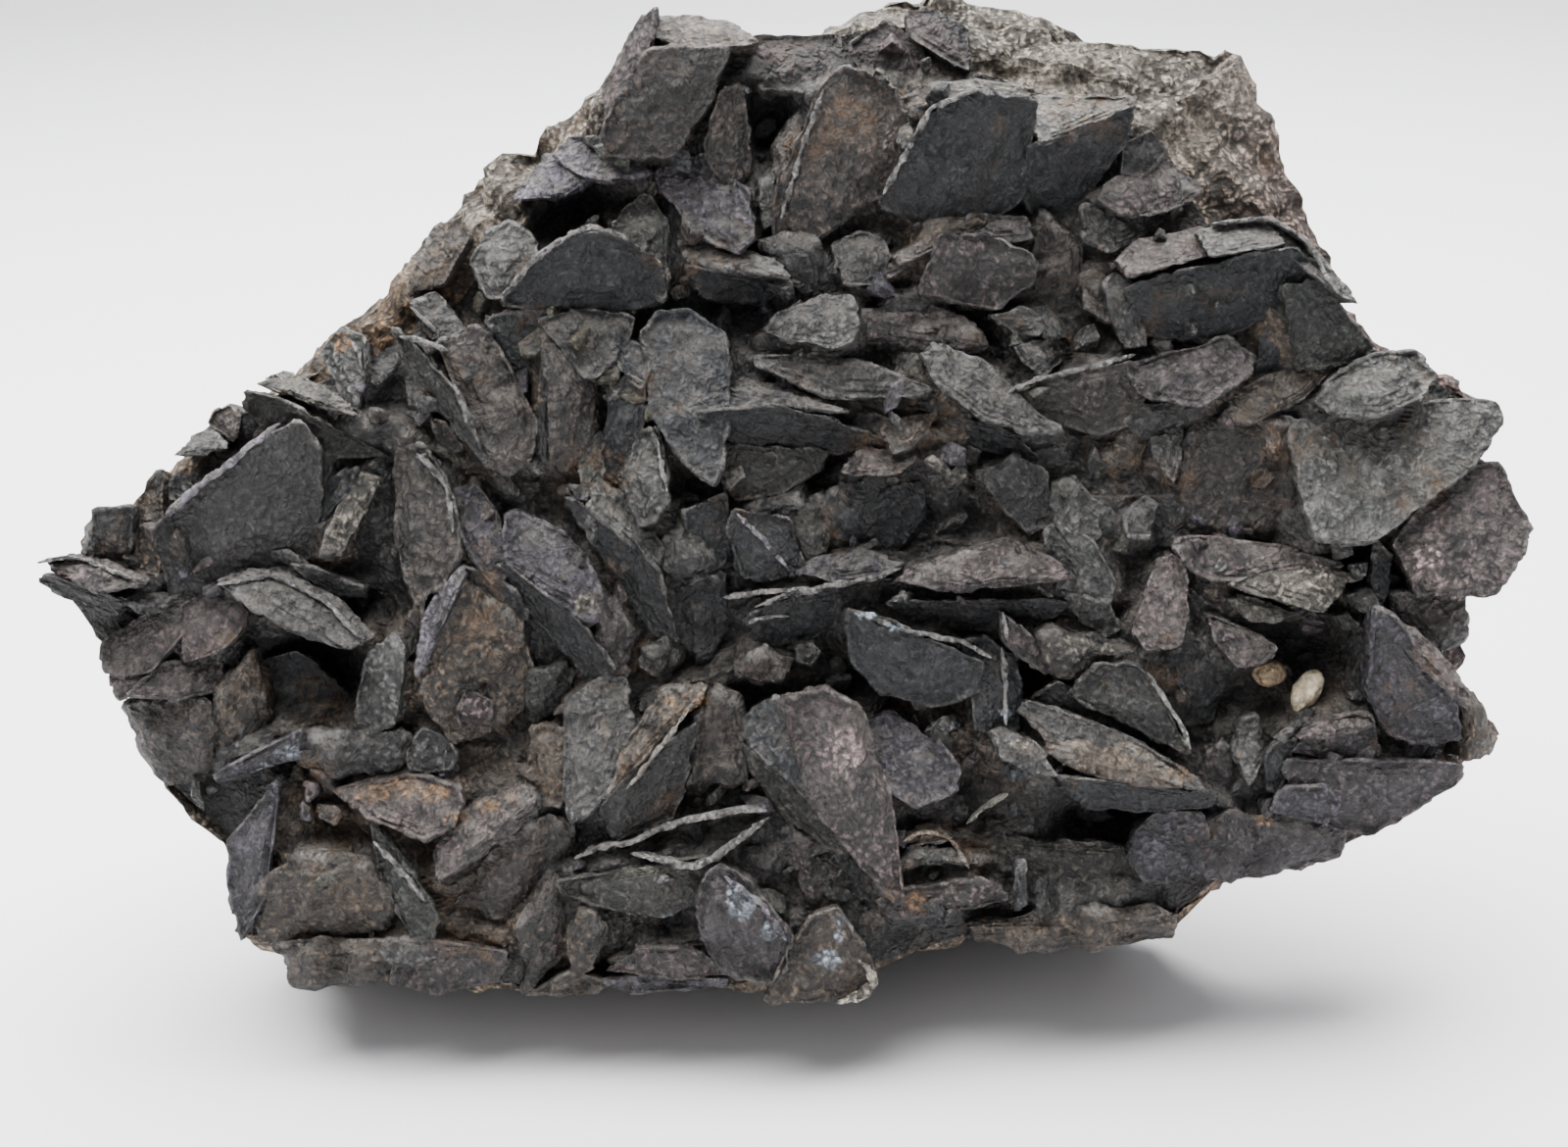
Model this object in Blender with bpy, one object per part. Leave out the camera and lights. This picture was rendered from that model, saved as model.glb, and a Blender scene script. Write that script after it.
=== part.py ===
"""A cabinet specimen of siderite altered to goethite: thick bladed crystals grown over each
other on a dark crust, on a block of granular rock that stands on its flat base.

The crystal side is laid out in a face frame, in millimetres: across runs to the right, up runs
up the face, and out points from the face to the viewer. The face leans back from upright, and
face_to_world turns it into the specimen's own frame, in metres, with +Z up, -Y to the front
and the origin at the centre of the footprint.
"""

import itertools
import math

import bmesh
import bpy
import numpy as np

MM = 0.001

# Driving dimensions, in millimetres, and shares of them
FACE_TILT = math.radians(20)
FACE_HEIGHT = 84.0
FOOTPRINT_CENTRE = (2.76, 18.55)
BACK_DEPTH = 64.0
BACK_TAPER = 0.28
BACK_LUMPS = 4.0
LEAST_DEPTH = -4.0
FOOT_DROP = 12.0
FOOT_REACH = 70.0
ROCK_CENTRE = (0.0, 0.0, -30.0)
CRUST_OUT = -2.0
CRUST_LUMPS = 2.5
CRUST_EDGE = 1.5
CRUST_RINGS = (0.25, 0.5, 0.75, 0.93)
DISH_OUT = -22.0
DISH_WALL = 0.09
LIP_OUT = -6.0
RIM_OUT = -11.0
RIM_LUMPS = 2.5
TOUCH_GAP = 0.3
SLIVER = 0.02
CUTTER_SHARE = 1.12
ROOT_DEPTH = 9.0
ROOT_STEP = 0.047
OVERLAP = 1.12
LEAST_FACE = 0.35
NEARLY_FLAT = math.radians(0.6)
GRAIN_LUMPS = 0.12
GRAIN_DETAIL = 2

# Lumps: how wide they are, in millimetres or for a grain in radii, and the noise's seed.
NOISE = {
    "rock": (26, 1), "rock_small": (12, 2), "rim": (15, 3), "crust": (14, 5), "grain": (0.9, 20),
}

# The stones' colour and roughness.
STONES = {
    "granular rock": ((0.30, 0.25, 0.19), 0.9),
    "altered siderite": ((0.085, 0.075, 0.072), 0.6),
    "pale quartz": ((0.55, 0.48, 0.36), 0.7),
}

# The specimen's outline on the face: across, up, and how much of the way from the centre to
# this point the dark crust covers. Beyond that the pale rock shows.
OUTLINE = [
    (-25, 91, 0.97), (-15, 94, 0.97), (-5, 92, 0.97), (5, 92, 0.97), (14, 96, 0.96), (24, 97, 0.93),
    (35, 95, 0.9), (52, 92, 0.88), (68, 91, 0.84), (79, 89, 0.82), (84, 79, 0.82), (87, 69, 0.84),
    (93, 60, 0.9), (97, 49, 0.96), (103, 41, 0.96), (115, 34, 0.97), (123, 27, 0.97),
    (122, 20, 0.95), (127, 14, 0.9), (130, 6, 0.88), (121, -6, 0.88), (119, -18, 0.94),
    (126, -29, 0.92), (115, -38, 0.96), (98, -50, 0.96), (80, -54, 0.96), (69, -63, 0.96),
    (56, -66, 0.96), (35, -65, 0.96), (19, -70, 0.96), (7, -74, 0.96), (-18, -73, 0.97),
    (-44, -74, 0.97), (-64, -73, 0.97), (-84, -71, 0.97), (-96, -63, 0.97), (-98, -48, 0.97),
    (-109, -38, 0.97), (-116, -20, 0.97), (-127, -4, 0.97), (-122, 6, 0.96), (-111, 14, 0.95),
    (-97, 27, 0.95), (-85, 35, 0.93), (-75, 43, 0.9), (-64, 54, 0.86), (-61, 60, 0.85),
    (-50, 70, 0.87), (-35, 80, 0.92),
]

# The rock behind the face, ring by ring: share of the outline, share of the whole depth, and how
# much of the foot's drop it takes.
BACK_PROFILE = [
    (1.0, 0.36, 0.1), (0.97, 0.58, 0.8), (0.92, 0.78, 1.0), (0.80, 0.92, 1.0), (0.55, 1.0, 0.6),
    (0.25, 1.02, 0.2),
]

# Flat broken faces on the back: the direction each one faces (across, up, out; a unit vector),
# and how far it lies from the rock's centre.
FRACTURES = [
    ((-0.55, 0.15, -0.82), 58), ((0.62, -0.10, -0.78), 62), ((0.12, 0.72, -0.68), 54),
    ((-0.62, 0.62, -0.48), 66), ((0.66, 0.48, -0.58), 72), ((-0.10, -0.20, -0.97), 56),
    ((-0.85, -0.25, -0.46), 95), ((0.90, 0.10, -0.42), 102),
]

# Hollows between the crystals: across, up, radius and depth below the crust.
PITS = [
    (-38, 61, 9, 10), (-100, 19, 6, 5), (-79, -12, 9, 15), (-14, 16, 7, 6), (58, 45, 6, 8),
    (-9, 46, 8, 6), (5, 22, 8, 6), (12, -21, 8, 8), (58, -42, 9, 9), (64, -27, 7, 7),
    (90, -12, 10, 8), (99, 2, 5, 6), (-112, -9, 5, 4), (-1, 76, 7, 6), (30, 45, 7, 5),
    (-45, -17, 7, 6), (-3, -22, 7, 6), (-55, -45, 6, 4), (40, -18, 8, 6), (86, 55, 6, 4),
]

# How the photo shows the face: its pixel at the face's centre, its pixels to a millimetre there,
# the eye's distance from it in millimetres, and the step to which readings are rounded.
VIEW_CENTRE = (800, 585)
PIXELS_PER_MM = 6
VIEW_DISTANCE = 381
READING_STEP = 0.5

# Kinds of crystal: the width of the bevel round the broad face, how far the rim lies below the
# face, and the share of the outline that is left at the root.
KINDS = {
    "slab": (0.8, 0.5, 0.80),
    "block": (0.9, 0.6, 0.95),
    "lens": (2.6, 1.6, 0.60),
    "rough": (2.6, 1.8, 1.00),
}

# The crystals by region. Each row is one broad face: its middle's height out, how thick the
# crystal is, the direction the face leans to (tip), how far it leans, the kind, and the corners
# of its outline as read by eye in the photo, in pixels from its top left.
CRYSTALS = {
    "peak": [
        (7, 12, -80, 12, "block", [(626, 118), (665, 60), (700, 55), (735, 60), (728, 95), (712, 118),
            (690, 155), (620, 158)]),
        (2, 7, 100, 14, "slab", [(673, 185), (682, 162), (715, 165), (760, 200), (768, 240), (748, 252),
            (712, 238)]),
        (2, 7, 45, 15, "slab", [(645, 210), (662, 202), (680, 232), (680, 290), (664, 330), (640, 262),
            (622, 240)]),
    ],
    "top": [
        (-3, 8, 90, 12, "slab", [(765, 45), (850, 42), (860, 70), (848, 95), (780, 98), (768, 72)]),
        (4, 9, -60, 14, "slab", [(838, 100), (860, 85), (902, 96), (925, 130), (903, 192), (830, 240),
            (796, 232), (798, 200)]),
        (5, 10, -75, 25, "slab", [(905, 205), (935, 150), (958, 120), (990, 106), (1047, 115), (1045, 160),
            (1033, 202), (1000, 222), (930, 215)]),
        (3, 10, -80, 35, "slab", [(1050, 155), (1090, 140), (1145, 118), (1140, 150), (1100, 212),
            (1060, 215), (1045, 190)]),
        (2, 7, 60, 20, "slab", [(1120, 205), (1140, 185), (1190, 162), (1222, 195), (1200, 212),
            (1150, 222)]),
        (-2, 6, 20, 12, "slab", [(870, 55), (905, 30), (935, 50), (950, 85), (915, 95), (880, 80)]),
    ],
    "upper_right": [
        (5, 10, -85, 30, "slab", [(1155, 290), (1200, 280), (1290, 255), (1330, 270), (1375, 330),
            (1320, 345), (1240, 342), (1205, 358), (1170, 342)]),
        (5, 8, -30, 25, "slab", [(1305, 300), (1335, 290), (1370, 320), (1402, 355), (1380, 366),
            (1325, 372)]),
        (4, 8, -70, 15, "slab", [(961, 238), (986, 232), (1013, 246), (1049, 249), (1049, 288),
            (1011, 311), (974, 302), (944, 296)]),
        (2, 7, -80, 12, "rough", [(776, 248), (802, 240), (832, 246), (850, 264), (850, 295), (815, 298),
            (793, 280)]),
        (0, 6, -60, 12, "rough", [(1060, 220), (1100, 250), (1100, 290), (1062, 300), (1048, 262)]),
    ],
    "left": [
        (4, 10, -80, 25, "slab", [(264, 395), (291, 408), (378, 432), (398, 442), (396, 462), (320, 464),
            (282, 440), (264, 420)]),
        (5, 11, -60, 22, "slab", [(302, 438), (320, 466), (320, 502), (308, 560), (270, 585), (178, 606),
            (170, 535), (215, 498), (262, 460)]),
        (6, 7, 70, 38, "lens", [(230, 594), (252, 584), (284, 583), (338, 612), (372, 645), (350, 654),
            (300, 640), (262, 620)]),
        (4, 9, 90, 18, "slab", [(186, 617), (202, 607), (224, 600), (247, 624), (243, 643), (227, 657),
            (205, 668), (190, 670)]),
        (2, 8, 135, 25, "slab", [(100, 656), (116, 645), (150, 628), (178, 612), (186, 622), (186, 645),
            (155, 680), (120, 688), (104, 680)]),
        (1, 8, -140, 15, "rough", [(120, 722), (180, 714), (208, 716), (215, 745), (200, 800), (165, 800),
            (145, 780), (130, 748)]),
        (2, 8, -60, 10, "rough", [(225, 700), (255, 665), (262, 710), (262, 752), (225, 768), (212, 740)]),
    ],
    "lower": [
        (-4, 5, -90, 10, "slab", [(265, 688), (274, 676), (302, 671), (320, 678), (343, 704), (355, 720),
            (351, 733), (302, 741), (260, 757)]),
        (4, 8, -170, 20, "slab", [(362, 705), (374, 671), (399, 653), (408, 664), (409, 701), (399, 734),
            (386, 743), (361, 748)]),
        (3, 8, -70, 12, "rough", [(305, 758), (330, 748), (400, 745), (412, 770), (405, 785), (340, 792),
            (308, 782)]),
        (5, 9, 100, 20, "slab", [(342, 810), (356, 804), (417, 795), (461, 804), (467, 819), (458, 840),
            (431, 852), (378, 833)]),
        (3, 9, 180, 15, "slab", [(303, 797), (308, 815), (286, 869), (261, 919), (256, 961), (242, 962),
            (230, 897), (232, 861), (275, 808)]),
        (3, 9, -90, 15, "rough", [(269, 899), (300, 877), (347, 876), (378, 890), (391, 925), (378, 952),
            (333, 962), (262, 962), (262, 920)]),
        (4, 10, -150, 15, "slab", [(352, 833), (364, 830), (383, 850), (411, 886), (442, 936), (436, 952),
            (417, 962), (397, 961), (389, 902)]),
        (7, 8, 120, 27, "lens", [(442, 872), (464, 837), (508, 813), (530, 811), (550, 826), (519, 847),
            (500, 872), (461, 897), (444, 895)]),
        (4, 9, -60, 15, "rough", [(462, 900), (500, 873), (519, 849), (552, 836), (577, 845), (575, 880),
            (545, 905), (505, 935), (462, 925)]),
        (2, 8, -90, 10, "rough", [(278, 972), (300, 965), (400, 965), (410, 980), (380, 1002), (350, 1010),
            (300, 1007)]),
        (3, 7, -90, 10, "slab", [(405, 966), (440, 962), (510, 974), (500, 1006), (440, 1017),
            (402, 1008)]),
    ],
    "centre": [
        (2, 7, 100, 15, "slab", [(482, 268), (499, 242), (521, 230), (541, 242), (549, 264), (524, 301),
            (500, 303)]),
        (5, 10, -80, 30, "slab", [(522, 305), (545, 276), (575, 253), (607, 242), (640, 252), (668, 272),
            (668, 302), (640, 312), (560, 318)]),
        (1, 6, -80, 20, "slab", [(505, 327), (560, 320), (562, 360), (555, 402), (520, 402), (503, 367)]),
        (4, 9, 60, 15, "slab", [(553, 331), (566, 323), (599, 314), (641, 323), (638, 342), (613, 378),
            (599, 381)]),
        (5, 9, -20, 20, "lens", [(563, 358), (585, 372), (603, 397), (603, 428), (595, 455), (578, 472),
            (563, 465)]),
        (5, 9, 100, 12, "slab", [(660, 347), (672, 328), (702, 325), (735, 345), (742, 385), (735, 460),
            (728, 482), (705, 470), (670, 420)]),
        (4, 9, 20, 15, "slab", [(455, 355), (490, 340), (510, 360), (545, 430), (535, 465), (515, 480),
            (498, 466), (478, 420)]),
        (4, 10, 160, 15, "slab", [(403, 478), (405, 462), (430, 460), (450, 485), (468, 530), (466, 560),
            (450, 590), (425, 605), (408, 565)]),
        (3, 7, -160, 20, "slab", [(615, 450), (625, 400), (645, 385), (658, 397), (655, 440), (640, 482),
            (622, 490)]),
        (5, 8, 100, 22, "slab", [(782, 341), (799, 318), (844, 302), (868, 303), (874, 330), (868, 348),
            (830, 357), (802, 345)]),
        (4, 8, 95, 18, "slab", [(783, 345), (824, 361), (924, 352), (944, 366), (947, 391), (930, 402),
            (841, 399), (782, 372)]),
        (2, 7, 90, 15, "rough", [(882, 322), (940, 305), (985, 330), (1000, 350), (960, 360), (885, 350)]),
        (6, 5, 90, 45, "lens", [(720, 418), (735, 398), (760, 388), (800, 392), (880, 428), (900, 440),
            (860, 434), (745, 416)]),
        (5, 10, -85, 40, "slab", [(722, 422), (797, 414), (860, 432), (893, 446), (860, 456), (780, 456),
            (745, 444)]),
        (3, 8, -60, 12, "slab", [(742, 456), (800, 458), (842, 462), (830, 480), (790, 502), (755, 505),
            (740, 485)]),
        (1, 6, -80, 15, "rough", [(845, 515), (855, 492), (900, 492), (935, 486), (940, 520), (925, 558),
            (880, 562), (845, 552)]),
        (6, 8, 60, 32, "slab", [(945, 367), (965, 352), (1000, 370), (1078, 436), (1040, 437), (1000, 424),
            (955, 387)]),
        (4, 8, -60, 12, "slab", [(746, 540), (753, 522), (803, 530), (817, 572), (812, 584), (762, 586)]),
        (3, 8, -80, 30, "slab", [(768, 630), (800, 610), (850, 598), (905, 590), (915, 602), (870, 628),
            (845, 652), (790, 654)]),
        (4, 9, 60, 12, "slab", [(517, 529), (530, 524), (572, 547), (600, 578), (608, 605), (600, 628),
            (578, 617), (522, 580)]),
        (4, 9, -135, 38, "slab", [(502, 583), (525, 583), (561, 609), (598, 640), (622, 676), (612, 696),
            (598, 695), (544, 630)]),
        (4, 9, -140, 35, "slab", [(583, 511), (615, 530), (644, 550), (670, 580), (683, 624), (689, 648),
            (664, 641), (630, 592)]),
        (1, 6, -60, 15, "rough", [(690, 595), (735, 585), (742, 640), (720, 668), (696, 650)]),
        (6, 9, -80, 16, "slab", [(870, 620), (898, 630), (964, 647), (998, 676), (996, 700), (956, 719),
            (905, 705), (876, 674)]),
        (7, 8, 95, 33, "lens", [(905, 608), (935, 578), (985, 564), (1030, 551), (1065, 566), (1098, 600),
            (1060, 612), (980, 601)]),
        (4, 9, -90, 45, "slab", [(918, 614), (980, 603), (1060, 613), (1088, 611), (1060, 632),
            (1000, 642), (940, 632)]),
        (3, 9, 0, 15, "slab", [(985, 657), (1010, 655), (1034, 672), (1042, 702), (1038, 742), (1016, 748),
            (998, 738)]),
    ],
    "right": [
        (5, 7, 95, 22, "slab", [(1152, 372), (1185, 364), (1240, 342), (1278, 362), (1268, 382),
            (1218, 413), (1165, 396)]),
        (4, 9, -90, 14, "slab", [(1032, 402), (1070, 388), (1110, 380), (1150, 372), (1165, 397),
            (1150, 430), (1120, 440), (1062, 422)]),
        (3, 7, -60, 15, "slab", [(1000, 482), (1030, 470), (1062, 480), (1080, 530), (1052, 540),
            (1020, 512)]),
        (2, 9, -80, 12, "rough", [(1208, 480), (1225, 440), (1280, 430), (1332, 436), (1345, 490),
            (1320, 545), (1260, 545), (1212, 540)]),
        (3, 6, 95, 22, "slab", [(1255, 402), (1310, 378), (1395, 352), (1410, 365), (1330, 405),
            (1303, 430), (1262, 425)]),
        (6, 8, 95, 25, "slab", [(1350, 408), (1365, 385), (1405, 362), (1442, 358), (1460, 382),
            (1445, 403), (1400, 420), (1357, 416)]),
        (4, 9, 75, 20, "slab", [(1325, 427), (1395, 422), (1505, 400), (1527, 426), (1500, 470),
            (1400, 540), (1345, 545), (1332, 495)]),
        (4, 6, 90, 22, "slab", [(1205, 552), (1240, 550), (1310, 558), (1360, 575), (1265, 590),
            (1240, 588), (1218, 578)]),
        (3, 9, 75, 14, "slab", [(1428, 552), (1452, 520), (1490, 488), (1530, 480), (1556, 527),
            (1550, 562), (1520, 600), (1450, 600)]),
        (2, 8, -70, 14, "rough", [(1420, 607), (1460, 602), (1500, 615), (1500, 650), (1480, 665),
            (1445, 642)]),
        (5, 9, 100, 14, "slab", [(1141, 596), (1197, 570), (1208, 580), (1209, 622), (1200, 652),
            (1150, 664), (1160, 640), (1142, 615)]),
        (6, 8, -120, 25, "slab", [(1099, 709), (1124, 681), (1161, 681), (1183, 714), (1211, 764),
            (1180, 753), (1136, 727)]),
        (1, 7, -60, 12, "rough", [(1176, 680), (1202, 640), (1243, 662), (1256, 684), (1250, 712),
            (1250, 736), (1213, 742), (1192, 710)]),
        (6, 8, 90, 15, "slab", [(1050, 730), (1058, 720), (1091, 728), (1147, 751), (1208, 786),
            (1220, 800), (1170, 790), (1090, 765)]),
        (8, 8, 95, 24, "lens", [(1077, 757), (1105, 750), (1161, 761), (1200, 790), (1200, 799),
            (1149, 795), (1105, 785), (1080, 768)]),
        (6, 9, -90, 45, "slab", [(1088, 790), (1130, 795), (1220, 802), (1236, 812), (1230, 826),
            (1180, 828), (1120, 826)]),
        (6, 10, -100, 20, "slab", [(1402, 628), (1420, 630), (1480, 708), (1494, 750), (1458, 757),
            (1428, 748), (1405, 711)]),
        (3, 9, -80, 14, "slab", [(1319, 774), (1402, 780), (1486, 778), (1487, 796), (1430, 839),
            (1405, 852), (1365, 842), (1330, 822)]),
        (2, 8, -80, 12, "rough", [(1238, 838), (1299, 833), (1372, 846), (1363, 877), (1336, 886),
            (1263, 902), (1240, 895)]),
        (2, 7, -90, 10, "slab", [(1160, 880), (1166, 850), (1190, 832), (1225, 836), (1236, 865),
            (1228, 890), (1205, 901), (1175, 900)]),
        (-1, 8, -85, 12, "rough", [(985, 835), (1025, 807), (1080, 815), (1165, 860), (1175, 905),
            (1200, 907), (1190, 940), (1090, 940), (1000, 890)]),
        (1, 6, -85, 12, "rough", [(1000, 948), (1100, 931), (1200, 936), (1190, 962), (1140, 970),
            (1070, 972), (1004, 965)]),
    ],
    "bottom": [
        (5, 9, 80, 12, "slab", [(578, 718), (617, 693), (633, 703), (641, 746), (623, 798), (603, 823),
            (584, 827), (578, 800)]),
        (3, 8, 160, 15, "slab", [(542, 748), (562, 743), (580, 747), (581, 775), (570, 820), (537, 815),
            (534, 796)]),
        (5, 9, -45, 25, "slab", [(617, 820), (659, 773), (706, 742), (701, 779), (683, 834), (642, 851),
            (626, 852)]),
        (3, 8, 40, 12, "rough", [(701, 800), (709, 743), (731, 707), (753, 718), (762, 771), (760, 797)]),
        (6, 7, -85, 12, "slab", [(587, 872), (639, 862), (709, 878), (726, 874), (714, 921), (676, 937),
            (639, 932), (578, 912), (574, 896)]),
        (2, 8, -30, 15, "rough", [(745, 880), (765, 858), (784, 842), (800, 870), (812, 890), (812, 928),
            (785, 924)]),
        (8, 12, 10, 12, "slab", [(802, 720), (843, 712), (884, 732), (900, 768), (907, 821), (921, 862),
            (918, 912), (900, 905), (830, 815)]),
        (5, 9, 130, 14, "slab", [(762, 737), (780, 718), (802, 717), (824, 735), (836, 790), (815, 800),
            (766, 762)]),
        (4, 9, 70, 20, "slab", [(887, 742), (912, 734), (957, 762), (979, 787), (968, 809), (934, 818),
            (907, 801)]),
        (4, 7, -80, 14, "slab", [(901, 922), (921, 909), (998, 901), (1018, 909), (1029, 934), (951, 937),
            (920, 943)]),
        (8, 11, -100, 14, "slab", [(714, 925), (722, 898), (739, 884), (765, 905), (803, 957), (798, 993),
            (787, 1004), (739, 996), (720, 962)]),
        (6, 9, -60, 14, "slab", [(787, 1020), (804, 982), (832, 940), (865, 930), (879, 973), (893, 996),
            (884, 1014), (832, 1023)]),
        (4, 9, -30, 22, "rough", [(528, 946), (562, 898), (572, 898), (578, 940), (567, 982), (548, 998),
            (533, 1010)]),
        (4, 8, -20, 17, "rough", [(475, 600), (519, 628), (539, 690), (525, 722), (461, 752), (430, 700),
            (449, 648)]),
    ],
}

# Loose pale grains lodged in a hollow: across, up, out, the three radii, and the turn clockwise.
GRAINS = {
    "quartz_grain_long": (89.6, -20.4, -1.65, (2.3, 4.0, 2.0), 30),
    "quartz_grain_round": (83, -17.2, -2.15, (2.8, 2.4, 2.0), 0),
}


def clear_scene():
    for leftover in list(bpy.data.objects):
        bpy.data.objects.remove(leftover)


def collection_named(name):
    group = bpy.data.collections.new(name)
    bpy.context.scene.collection.children.link(group)
    return group


def stone_material(name):
    color, roughness = STONES[name]
    material = bpy.data.materials.new(name)
    material.use_nodes = True
    shader = material.node_tree.nodes["Principled BSDF"]
    shader.inputs["Base Color"].default_value = (*color, 1)
    shader.inputs["Roughness"].default_value = roughness
    shader.inputs["Metallic"].default_value = 0
    return material


def face_to_world(points):
    """Turns face-frame points (across, up, out) in millimetres into the specimen's frame in metres."""
    across, up, out = np.asarray(points, float).T
    sine = math.sin(FACE_TILT)
    cosine = math.cos(FACE_TILT)
    x = across - FOOTPRINT_CENTRE[0]
    y = up * sine - out * cosine - FOOTPRINT_CENTRE[1]
    z = up * cosine + out * sine + FACE_HEIGHT
    return np.stack([x, y, z], axis=1) * MM


def lattice_noise(points, size, seed):
    """Smooth noise from -1 to 1: a random value at each corner of a lattice of cubes, blended between."""
    cell = np.asarray(points, float) / size
    low = np.floor(cell).astype(np.int64)
    part = cell - low
    part = part * part * (3 - 2 * part)
    total = np.zeros(len(cell))
    for corner in itertools.product((0, 1), repeat=3):
        key = (low + corner) @ np.array([73856093, 19349663, 83492791]) + seed * 2654435761
        key = (key ^ (key >> 13)) * 1274126177
        value = ((key ^ (key >> 16)) & 0xFFFF) / 0xFFFF
        weight = np.where(corner, part, 1 - part).prod(axis=1)
        total += weight * value
    return 2 * total - 1


def face_outwards(shape):
    bmesh.ops.recalc_face_normals(shape, faces=shape.faces)
    if shape.calc_volume(signed=True) < 0:
        bmesh.ops.reverse_faces(shape, faces=shape.faces)


def add_solid(name, points, faces, group, material=None):
    """Adds a closed mesh from face-frame points as an object, with its faces turned outwards."""
    mesh = bpy.data.meshes.new(name)
    mesh.from_pydata(face_to_world(points).tolist(), [], faces)
    shape = bmesh.new()
    shape.from_mesh(mesh)
    bmesh.ops.triangulate(shape, faces=shape.faces)
    face_outwards(shape)
    shape.to_mesh(mesh)
    shape.free()
    solid = bpy.data.objects.new(name, mesh)
    if material:
        mesh.materials.append(material)
    group.objects.link(solid)
    return solid


def ring_faces(ring_count, around):
    """Faces of a closed skin: a first point, rings of points around it, and a last point."""
    last = 1 + ring_count * around
    faces = [(0, 1 + (i + 1) % around, 1 + i) for i in range(around)]
    for ring in range(ring_count - 1):
        start = 1 + ring * around
        for i in range(around):
            j = (i + 1) % around
            faces.append((start + i, start + j, start + around + j, start + around + i))
    start = 1 + (ring_count - 1) * around
    faces += [(last, start + i, start + (i + 1) % around) for i in range(around)]
    return faces


def back_depth(up):
    """How far behind the face the rock ends at this height: it is a wedge, deepest at its foot."""
    return BACK_DEPTH - BACK_TAPER * up


def face_ring(share, out):
    """The outline drawn in to a share of its size, at a height, each one value or one a point."""
    corners = np.array([(across, up) for across, up, _ in OUTLINE], float)
    flat = corners * np.reshape(share, (-1, 1))
    return np.column_stack([flat, np.broadcast_to(out, len(flat))])


def crust_cover():
    """How much of the way from the centre to each outline point the crust covers."""
    return np.array([cover for _, _, cover in OUTLINE])


def rock_front(raised=0.0):
    """Rings on the rock's front: the floor and the lip of the dish under the crust, and the rim."""
    cover = crust_cover()
    rim = face_ring((1 + cover) / 2, 0)
    lumps = lattice_noise(rim, *NOISE["rim"]) * RIM_LUMPS
    return [
        face_ring(cover - DISH_WALL, DISH_OUT + raised),
        face_ring(cover, LIP_OUT + raised),
        face_ring((1 + cover) / 2, LIP_OUT + lumps + raised),
        face_ring(1.0, RIM_OUT + raised),
    ]


def add_matrix(group, material):
    """The block of rock: its front under the crust, and a lumpy wedge behind with a flat base."""
    rings = rock_front()
    for share, depth_share, drop_share in BACK_PROFILE:
        ring = face_ring(share, 0)
        ring[:, 2] = -depth_share * back_depth(ring[:, 1])
        ring[:, 1] -= drop_share * FOOT_DROP * np.clip(-ring[:, 1] / FOOT_REACH, 0, 1)
        rings.append(ring)
    points = np.concatenate([[(0, 0, DISH_OUT)], *rings, [(0, 0, -BACK_DEPTH)]])
    lumps = lattice_noise(points, *NOISE["rock"]) * BACK_LUMPS
    lumps += lattice_noise(points, *NOISE["rock_small"]) * BACK_LUMPS / 2
    away = points - ROCK_CENTRE
    away += away / np.linalg.norm(away, axis=1, keepdims=True) * lumps[:, None]
    for (across, up, out), distance in FRACTURES:
        reach = (distance - away[:, 0] * across - away[:, 1] * up) / out
        away[:, 2] = np.maximum(away[:, 2], np.minimum(reach, LEAST_DEPTH))
    back = 1 + len(rock_front()) * len(OUTLINE)
    points[back:] = away[back:] + ROCK_CENTRE
    solid = add_solid("matrix", points, ring_faces(len(rings), len(OUTLINE)), group, material)
    shape = bmesh.new()
    shape.from_mesh(solid.data)
    everything = shape.verts[:] + shape.edges[:] + shape.faces[:]
    cut = bmesh.ops.bisect_plane(
        shape, geom=everything, plane_co=(0, 0, 0), plane_no=(0, 0, -1), clear_outer=True
    )
    rim = [part for part in cut["geom_cut"] if isinstance(part, bmesh.types.BMEdge)]
    bmesh.ops.contextual_create(shape, geom=rim)
    face_outwards(shape)
    shape.to_mesh(solid.data)
    shape.free()
    return solid


def crust_out(flat):
    """Height of the crust between the crystals: low lumps, with the hollows sunk into it."""
    points = np.column_stack([flat, np.zeros(len(flat))])
    out = CRUST_OUT + lattice_noise(points, *NOISE["crust"]) * CRUST_LUMPS
    for across, up, radius, depth in PITS:
        distance = np.hypot(flat[:, 0] - across, flat[:, 1] - up)
        out -= depth * np.exp(-((distance / radius) ** 2))
    return out


def add_crust(group, material):
    """The crust that joins the crystals, as a closed skin whose back lies deep in the rock."""
    cover = crust_cover()
    rings = []
    for share in CRUST_RINGS:
        ring = face_ring(share * cover, 0)
        ring[:, 2] = crust_out(ring[:, :2])
        rings.append(ring)
    rings.append(face_ring(cover, LIP_OUT + CRUST_EDGE))
    rings.append(face_ring(cover, DISH_OUT - CRUST_EDGE))
    middle = crust_out(np.zeros((1, 2)))[0]
    points = np.concatenate([[(0, 0, middle)], *rings, [(0, 0, DISH_OUT - CRUST_EDGE)]])
    return add_solid("siderite_crystals", points, ring_faces(len(rings), len(OUTLINE)), group, material)


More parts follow.
